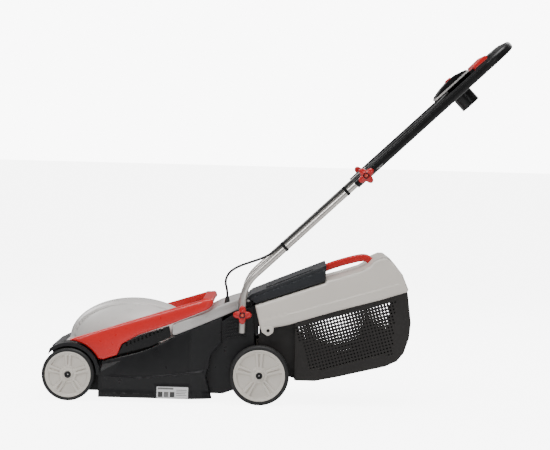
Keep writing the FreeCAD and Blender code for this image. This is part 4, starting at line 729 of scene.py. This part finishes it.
def fender_face(points):
    away = np.hypot(points[:, 0], points[:, 1] - FRONT_WHEEL[1])
    return 196.9 - 1.2 * smooth((away - 82.6) / 1.2) + 0.9 * smooth((away - 87.4) / 1.0)


def tuck_deck(x, y, z):
    """Draws the CAD skirt in behind its visual face."""
    if 92 < y < 437 and abs(x) > 150 and z < 250:
        reach = min(abs(x), float(skirt_reach(y)) - 22)
        return (math.copysign(max(reach, 146), x), y, z)
    return (x, y, z)


edited("deck_shell", "deck_body", tuck_deck)
SKIRT_OUTLINE = rounded(
    [(86, 11)] + SKIRT_TOP + REAR_ARCH[::-1],
    [3, 5, 30, 60, 60, 60, 20, 5, 4, 14, 20, 20, 3])
FENDER_OUTLINE = arc(FRONT_WHEEL, 90, 2, 125, 60) + arc(FRONT_WHEEL, 80.4, 132, 2, 60)
for label, side in SIDES:
    relief(f"skirt_{label}", SKIRT_OUTLINE, skirt_face, skirt_back, side, "deck", "deck", edge=2.4, grid=4.5,
           creases=[CREASE[1:-1], [(90, 19), (127, 19)], [(127, 24), (210, 24)], [(210, 19), (405, 19)]],
           slot="deck_black")
    relief(f"fender_{label}", FENDER_OUTLINE, fender_face, 186, side, "deck", "deck", edge=1.0, grid=2.2,
           slot="deck_black")


LABEL_FACE = 190.0
for bar_name, bounds, ink in (
        ("label_plate", (253, 12.5, 343, 45.5), "label"),
        ("label_band", (256, 38, 301, 43), "smoke"),
        ("label_field_a", (257, 16, 270, 31), "label_ink"),
        ("label_field_b", (274, 16, 287, 31), "smoke"),
        ("label_field_c", (291, 16, 304, 31), "label_ink"),
        ("label_rule_a", (309, 36, 339, 37.4), "label_ink"),
        ("label_rule_b", (309, 31, 339, 32.4), "smoke"),
        ("label_rule_c", (309, 26, 335, 27.4), "label_ink"),
        ("label_rule_d", (309, 21, 339, 22.4), "smoke")):
    raised = 0.0 if bar_name == "label_plate" else 0.06
    prism(bar_name, rounded(rectangle(*bounds), 1.2, 4), LABEL_FACE - 0.5 + raised, 190.34 + raised, ink,
          "deck", bevel=0, slot="label_white", replaces=["rating_label"] if bar_name == "label_plate" else ())


# ---- Motor hood: an oval dome with a raised band over its middle ----
def hood_point(turn, rise, drop=0.0):
    """Point of the dome at a turn about the motor axis and a rise from its rim, both in radians."""
    long_half, half, high = 189 - drop, 150 - drop, 119 - drop
    x = half * math.cos(rise) * math.sin(turn)
    y = long_half * math.cos(rise) * math.cos(turn)
    z = high * math.sin(rise)
    aside = abs(x)
    raised = 1 - smooth((aside - 60 + 14 * (1 - math.sin(rise))) / 3.2)
    lower = 5.0 * (1 - float(raised)) * math.cos(rise) ** 0.25
    groove = 2.0 * math.exp(-((aside - 63.5 + 14 * (1 - math.sin(rise))) / 1.5) ** 2)
    shrink = 1 - (lower + groove) / 130
    return (x * shrink, 175 + y * shrink, 165 + z * shrink)


def make_hood():
    columns = 240
    rises = np.radians(np.concatenate([np.linspace(0, 84, 64), np.linspace(85.5, 89.6, 5)]))
    turns = around(columns)
    loops = [[hood_point(t, rise) for t in turns] for rise in rises]
    inner = [[hood_point(t, rise, 3.0) for t in turns] for rise in reversed(rises)]
    points = [p for loop in loops + inner for p in loop]
    faces = []
    for i in range(len(loops) + len(inner) - 1):
        a, b = i * columns, (i + 1) * columns
        faces += [(a + j, a + (j + 1) % columns, b + (j + 1) % columns, b + j) for j in range(columns)]
    last = len(points) - columns
    faces += [(j, (j + 1) % columns, last + (j + 1) % columns, last + j) for j in range(columns)]
    hood = finish_piece("hood_dome", points, faces, "hood", "deck", replaces=["motor_hood"], slot="cream")
    # the deck rises into the dome's rear: what lies below it is taken away
    edit = bmesh.new()
    edit.from_mesh(hood.data)
    deck_line = [(308, 166), (335, 169), (479, 263)]
    gone = []
    for face in edit.faces:
        centre = face.calc_center_median()
        y, z = (centre.y - AXLE_Y) / MM, centre.z / MM
        if y > 308 and z < float(line(y, deck_line)) - 1:
            gone.append(face)
    bmesh.ops.delete(edit, geom=gone, context="FACES")
    edit.to_mesh(hood.data)
    edit.free()


make_hood()
prism("hood_flange", rounded(rectangle(-12, 165.3, 306, 168), 1.0, 3), -141, 141, "hood", "deck", bevel=1.0,
      slot="cream")


# ---- Red cover: an arm along each side of the hood and the carry bar behind it ----
ARM_TOP = [(404, 299), (375, 294), (274, 262), (163, 226), (91, 202), (0, 173)]
ARM_LOW = (arc(FRONT_WHEEL, 94, 90, 28, 16)
           + [(98, 118), (138, 132), (150, 163), (198, 191.5), (284, 222), (348, 248.5), (395, 269),
              (409, 284)])
ARM_OUTLINE = rounded(ARM_TOP + ARM_LOW,
                      [9, 60, 60, 60, 60, 1] + [0] * 15 + [2, 3, 10, 12, 26, 60, 60, 30, 8])


def arm_face(points):
    """The arms lean in towards their top and turn in to the carry bar at the rear."""
    y, z = points.T
    low = line(y, [(0, 169), (98, 118), (150, 163), (198, 191), (284, 222), (348, 248), (409, 284)])
    top = line(y, [(0, 173), (91, 202), (163, 226), (274, 262), (375, 294), (404, 299)])
    climb = np.clip((z - low) / np.maximum(top - low, 1), 0, 1)
    crown = 5.0 * climb ** 3
    wrap = 22 * (1 - np.sqrt(1 - np.clip((y - 372) / 40, 0, 1) ** 2))
    nose = 10 * np.clip((60 - y) / 60, 0, 1) ** 2
    return 183.7 - crown - wrap - nose


for label, side in SIDES:
    relief(f"red_arm_{label}", ARM_OUTLINE, arm_face, 152.5, side, "red", "deck", edge=4.5, grid=6,
           slot="red", replaces=["carry_cover"] if label == "left" else ())
bar_path = []
for x in np.linspace(-160, 160, 65):
    turn_in = max(0.0, (abs(x) - 112) / 48)
    bar_path.append((x, 392 - 4.0 * turn_in ** 2, 290 - 1.5 * turn_in))
sweep("carry_bar", bar_path, box_section(17.6, 31, 7.5, 6), "red", "deck", normal=(0, 0, 1), slot="red")
for label, side in SIDES:
    prism(f"finger_wall_{label}", rounded([(330, 262), (378, 280), (378, 292), (330, 276)], 3, 4),
          side * 149, side * 152.6, "red", "deck", bevel=1.0, slot="red")


# ---- Silver rear cover, with a groove below its upper edge ----
COVER_TOP = [(294, 222), (316, 231), (395, 262), (421, 276), (454, 289), (480, 298)]


def cover_face(points):
    y, z = points.T
    below = line(y, COVER_TOP) - z
    groove = np.exp(-((below - 11) / 1.3) ** 2)
    return skirt_reach(y) - 8.2 - 1.4 * groove - 2.0 * smooth((below - 12) / 3)


edited("rear_cover", "rear_saddle",
       lambda x, y, z: (math.copysign(min(abs(x), max(float(skirt_reach(y)) - 13, 132)), x), y, z))
COVER_OUTLINE = rounded([(294, 193), (303, 193), (434, 247.4), (464, 259.8), (480, 266)] + COVER_TOP[::-1], 4)
COVER_CREASE = [(320, 221.5), (393, 250.5), (419, 264), (476, 285)]
for label, side in SIDES:
    relief(f"rear_saddle_{label}", COVER_OUTLINE, cover_face, 131, side, "silver", "deck", edge=3.2, grid=4,
           creases=[COVER_CREASE], slot="silver_grey")


# ---- Star knobs with a bright bolt end, and a black ring around it that paints the shade in the knob's centre recess ----
def star_loop(x, pivot, turn, grow=1.0, shrink=0.0):
    loop = []
    for a in around(96):
        lobe = (0.5 + 0.5 * math.cos(4 * (a - turn))) ** 0.8
        radius = (15.4 + 11.4 * lobe) * grow - shrink
        loop.append((x, pivot[1] + radius * math.cos(a), pivot[2] + radius * math.sin(a)))
    return loop


# star: (height, share of the outline, drawn in by); painted-shade ring and bolt: (height, radius)
KNOB_STAR = ((0.0, 1, 4.0), (0.6, 1, 1.2), (2.4, 1, 0.2), (7.0, 1, 0.0), (10.5, 1, 0.8), (12.6, 1, 2.6),
             (13.6, 1, 5.0), (14.0, 0.62, 1.0), (14.6, 0.5, 0.5), (17.2, 0.5, 0.8), (17.8, 0.5, 1.8))
KNOB_SHADE_RING = ((13.6, 5.4), (17.9, 5.4), (17.9, 8.4), (16.8, 9.4), (13.6, 9.4))
KNOB_BOLT = ((12.0, 0.3), (17.2, 0.3), (17.9, 1.6), (17.2, 5.3), (12.0, 5.3))
KNOBS = (("lower", 168.0, LOWER_PIVOT, 0.0), ("upper", 190.5, UPPER_PIVOT, math.pi / 4))
for level, first, pivot, turn in KNOBS:
    for label, side in SIDES:
        knob = f"{level}_knob_{label}"
        rings(f"{knob}_star", [star_loop(side * (first + h), pivot, turn, g, d) for h, g, d in KNOB_STAR],
              "red_knob", knob, replaces=[knob], slot="red")
        # black ring: painted shade in the recess between the star and the bolt end
        crisp(turned(f"{knob}_ring", [(first + h, r) for h, r in KNOB_SHADE_RING], pivot, side, "trim", knob, 40,
                     slot="trim_black"))
        crisp(turned(f"{knob}_bolt", [(first + h, r) for h, r in KNOB_BOLT], pivot, side, "brass", knob, 32,
                     slot="brass_pin"))


# ---- Upper handle trim, console, button and lever, in the handle's own frame ----
def handle_row(point):
    return row(on_handle(point))


def handle_prism(name, outline, low, high, material, body, bevel, **options):
    return prism(name, outline, low, high, material, body, bevel=bevel, to_row=handle_row, **options)


for label, side in SIDES:
    # a raised rail along the arm's side, above a parting line
    handle_prism(f"handle_rail_{label}", rounded(rectangle(-20, 2.6, 468, 8.6), 2.8, 5),
                 side * 188.4, side * 191.2, "trim", "upper_handle", 1.2, slot="trim_black")
    handle_prism(f"handle_foot_{label}", rounded(rectangle(34, -9, 58, -5.5), 1.6, 4),
                 side * 189.2, side * 190.6, "smoke", "upper_handle", 0.5, slot="trim_black")
handle_prism("console_case", rounded(rectangle(300, -17, 424, 20), [9, 9, 1, 1]), -60, 60, "trim",
             "upper_handle", 3.0, slot="trim_black")
handle_prism("console_rim", rounded([(298, 20), (426, 20), (425, 25), (299, 25)], 1.5, 4), -62, 62, "silver",
             "upper_handle", 1.5, slot="silver_grey", replaces=["switch_cover"])
CROWN_OUTLINE = rounded([(300, 25), (424, 25), (420, 30), (395, 37), (366, 39.6), (330, 35), (306, 29)],
                        [1, 1, 5, 20, 20, 20, 5])
handle_prism("console_crown", CROWN_OUTLINE, -59, 59, "trim", "upper_handle", 3.5, slot="trim_black")
BUTTON_ALONG = 366
BUTTON_PROFILE = ((31.2, 2), (31.2, 10.9), (41.4, 10.9), (42.6, 9.8), (43, 7.5), (42.5, 3), (42.4, 0.4),
                  (31.2, 0.4))
button_loops = [[(radius * math.cos(a), BUTTON_ALONG + radius * math.sin(a), up) for a in around(48)]
                for up, radius in BUTTON_PROFILE]
crisp(rings("button_cap", button_loops, "red", "safety_button", closed=True, to_row=handle_row,
            replaces=["safety_button"], slot="red"))
handle_prism("lever_paddle", rounded([(438, 15), (484, 13), (488, 17), (488, 21), (484, 25), (438, 23.5)],
                                     [3, 4, 2, 2, 5, 4]), -104, 104, "red", "start_lever", 3.2, slot="red",
             replaces=["start_lever"])
handle_prism("lever_hub", rounded([(428, 10), (432, 7.2), (437, 7.2), (448, 14), (446, 22), (432, 18.6)], 3),
             -54, 54, "red", "start_lever", 1.5, slot="red")


# ---- Flap: side walls with a ledge ----
FLAP_TOP = [(502, 300), (513, 311), (728, 400)]


def lid_height(y):
    return 281 + (y - 527) * math.tan(math.radians(19.2))


def flap_face(points):
    below = line(points[:, 0], FLAP_TOP) - points[:, 1]
    return 140.2 + 2.6 * smooth((below - 10) / 2.0) - 1.2 * np.exp(-((below - 9.2) / 1.0) ** 2)


edited("rear_flap", "flap_shell", lambda x, y, z: (math.copysign(min(abs(x), 137.5), x), y, z))
FLAP_OUTLINE = rounded([(503, 300), (513, 310.6), (727.5, 399.4), (727, lid_height(727) + 3.2),
                        (529, lid_height(529) + 3.2), (518.5, 292.5)], [4, 8, 12, 7, 4, 4])
for label, side in SIDES:
    relief(f"flap_side_{label}", FLAP_OUTLINE, flap_face, 136.5, side, "flap", "flap", edge=2.2, grid=5,
           creases=[[(530, 308), (722, 387.5)]], slot="deck_black")
prism("flap_panel", rounded([(556, 331.4), (690, 386.8), (690.6, 385.2), (556.6, 329.8)], 0.6, 3), -104, 104,
      "flap", "flap", bevel=0.8, slot="deck_black")


# ---- Grass box: lid with a rim, lugs, perforated basket, handle ----
RIM_LINE = [(527, 232), (619, 258), (881, 336), (935, 353), (970, 362)]
LID_OUTLINE = rounded(
    [(527, 281), (724, lid_height(724)), (731, 358), (772, 370), (826, 388), (850, 402), (862, 416),
     (885, 427), (900, 427), (922, 411), (946, 381), (964, 338), (960, 330), (882, 305), (760, 271),
     (622, 228), (580, 219), (545, 211), (539, 234)],
    [4, 2, 6, 30, 30, 14, 14, 14, 14, 20, 40, 6, 4, 60, 60, 40, 30, 6, 20])


def lid_face(points):
    y, z = points.T
    above = z - line(y, RIM_LINE)
    shoulder = smooth(above / 2.2)
    lean = 6.5 * np.clip(above / 75, 0, 1) ** 1.4
    folds = np.exp(-((y - 566) / 1.4) ** 2) + np.exp(-((y - 589) / 1.4) ** 2)
    return 169.4 - 2.2 * shoulder - lean - 1.1 * folds * smooth((z - 226) / 6) * smooth((262 - z) / 6)


edited("box_lid", "lid_shell", lambda x, y, z: (math.copysign(min(abs(x), 156), x), y, z),
       drop=lambda x, y: abs(x) > 160)
LUG_OUTLINE = rounded([(546, 216), (548, 206), (566, 194.6), (581, 206), (582, 222), (566, 226)],
                      [3, 8, 9, 8, 3, 3])
for label, side in SIDES:
    relief(f"lid_side_{label}", LID_OUTLINE, lid_face, 155, side, "cream", "grass_box", edge=7.5, grid=5,
           creases=[RIM_LINE[1:-1]], slot="cream")
    relief(f"lid_lug_{label}", LUG_OUTLINE, lambda points: np.full(len(points), 169.6), 164, side, "cream",
           "grass_box", edge=1.6, grid=3, holes=[(566, 211)], hole_radius=5.2, slot="cream")

HOLE_PITCH = 9.4
HOLE_FIELD = [(645, 223), (928, 305), (921, 153), (686, 97)]
SLOPE = math.atan2(81, 279)
holes = []
for across in range(-2, 44):
    for down in range(20):
        spot = (647 + HOLE_PITCH * (across * math.cos(SLOPE) + down * math.sin(SLOPE)),
                221 + HOLE_PITCH * (across * math.sin(SLOPE) - down * math.cos(SLOPE)))
        if inside(np.array([spot]), HOLE_FIELD)[0]:
            holes.append(spot)
BASKET_OUTLINE = rounded(
    [(643, 71), (703, 70), (765, 83), (903, 117), (936, 133), (955, 157), (969, 200), (973, 244), (962, 329),
     (952, 337), (882, 312), (760, 278), (643, 244)], [4, 30, 60, 30, 20, 20, 30, 60, 6, 4, 60, 60, 2])
edited("basket", "basket_shell", lambda x, y, z: (math.copysign(min(abs(x), 164.6), x), y, z),
       drop=lambda x, y: abs(x) > 163.5 and y > 640)
for label, side in SIDES:
    relief(f"basket_side_{label}", BASKET_OUTLINE, lambda points: np.full(len(points), 166.2), 163.7, side,
           "basket", "grass_box", edge=1.6, grid=14, holes=holes, hole_radius=2.5, slot="basket_black")
    prism(f"basket_belt_{label}", rounded([(648, 228), (935, 311), (934, 314), (647, 231)], 1, 3),
          side * 165.5, side * 167.4, "basket", "grass_box", bevel=0.6, slot="basket_black")

grip_path = [(703, 366), (710, 377), (722, 383.5), (750, 395), (780, 405), (810, 413.5), (832, 418.6),
             (846, 418.4), (855, 413), (862, 404)]
for _ in range(3):
    cut_corners = [tuple(np.add(np.multiply(p, share), np.multiply(q, 1 - share)))
                   for p, q in zip(grip_path, grip_path[1:]) for share in (0.75, 0.25)]
    grip_path = [grip_path[0]] + cut_corners + [grip_path[-1]]
sweep("box_grip", [(0, y, z) for y, z in grip_path], box_section(33.5, 21, 6.5, 6), "red", "grass_box",
      slot="red", replaces=["box_handle"])


# ---- Cable: the two free stretches, from the deck to the handle and over the upper pivot, built as fixed meshes on no body ----
def smooth_route(corners, steps=10):
    """Curve that leaves each corner's neighbours at their middles."""
    corners = [np.array(c, float) for c in corners]
    made = [corners[0]]
    for index in range(1, len(corners) - 1):
        start = corners[0] if index == 1 else (corners[index - 1] + corners[index]) / 2
        stop = corners[-1] if index == len(corners) - 2 else (corners[index] + corners[index + 1]) / 2
        made += [start * (1 - t) ** 2 + corners[index] * 2 * t * (1 - t) + stop * t * t
                 for t in np.linspace(0, 1, steps)[1:]]
    return [Vector(p) for p in made]


CABLE_RADIUS = 3.5


def cable(name, corners, node):
    path = smooth_route(corners)
    side_way = Vector((1, 0, 0))
    loops = []
    for index, point in enumerate(path):
        ahead = (path[min(index + 1, len(path) - 1)] - path[max(index - 1, 0)]).normalized()
        side_way = (side_way - ahead * side_way.dot(ahead)).normalized()
        other = ahead.cross(side_way)
        loops.append([tuple(point + (side_way * math.cos(a) + other * math.sin(a)) * CABLE_RADIUS)
                      for a in around(16)])
    piece = rings(name, loops, "cable", None, replaces=[node], slot="cable_rubber")
    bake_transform(piece)


cable("cable_free_loop",
      [(118, 446, 303), (118, 446, 320), (122, 438, 345), (133, 448, 372), (146, 474, 391), (154, 507, 404),
       (157, 541, 416), on_handle((158, -346, 13.6)), on_handle((158, -318, 13.6))],
      "cable_loop")
cable("cable_free_elbow",
      [on_handle(p) for p in ((158, -45, 13.6), (158, -16, 13.6), (155, 15, 13.1), (152, 45, 11.6))],
      "cable_elbow")


# ---- Coils of the two flap springs ----
FLAP_HINGE = (507, 293)
COIL_STEPS = 180
for label, side in SIDES:
    coil = []
    for step in range(COIL_STEPS + 1):
        angle = math.radians(step * 24)
        coil.append((side * (110.5 + 15 * step / COIL_STEPS), FLAP_HINGE[0] + 4.1 * math.cos(angle),
                     FLAP_HINGE[1] + 4.1 * math.sin(angle)))
    loops = []
    for index, point in enumerate(coil):
        ahead = (Vector(coil[min(index + 1, COIL_STEPS)]) - Vector(coil[max(index - 1, 0)])).normalized()
        out = (Vector(point) - Vector((point[0], *FLAP_HINGE))).normalized()
        out = (out - ahead * out.dot(ahead)).normalized()
        other = ahead.cross(out)
        loops.append([tuple(Vector(point) + (out * math.cos(a) + other * math.sin(a)) * 0.75)
                      for a in around(8)])
    rings(f"flap_coil_{label}", loops, "steel", "deck", slot="steel",
          replaces=["flap_springs"] if label == "left" else ())


# ---- Louvres under the lower knobs and the lips that close the tunnel's sides towards the grass box ----
GRILLE_OUTLINE = rounded([(144, 137), (228, 160), (288, 189), (283, 216), (200, 187), (154, 160)], 3, 4)
for label, side in SIDES:
    for index in range(7):
        high = 181 + 9.6 * index
        front = 438 + 2.2 * index
        slat = [(front, high), (502, high + 11.5), (502, high + 15.0), (front, high + 3.6)]
        prism(f"louvre_{label}_{index}", rounded(slat, 1.4, 4), side * 144.0, side * 147.9, "deck", "deck",
              bevel=0.9, slot="deck_black")
    prism(f"tunnel_lip_{label}", rounded([(512, 198), (539, 198), (539, 234), (534, 279), (512, 279)], 3, 4),
          side * 126, side * 133, "deck", "deck", bevel=1.2, slot="deck_black")
    prism(f"grille_back_{label}", GRILLE_OUTLINE,
          side * 168, side * 171.5, "trim", "deck", bevel=0.8, slot="trim_black")
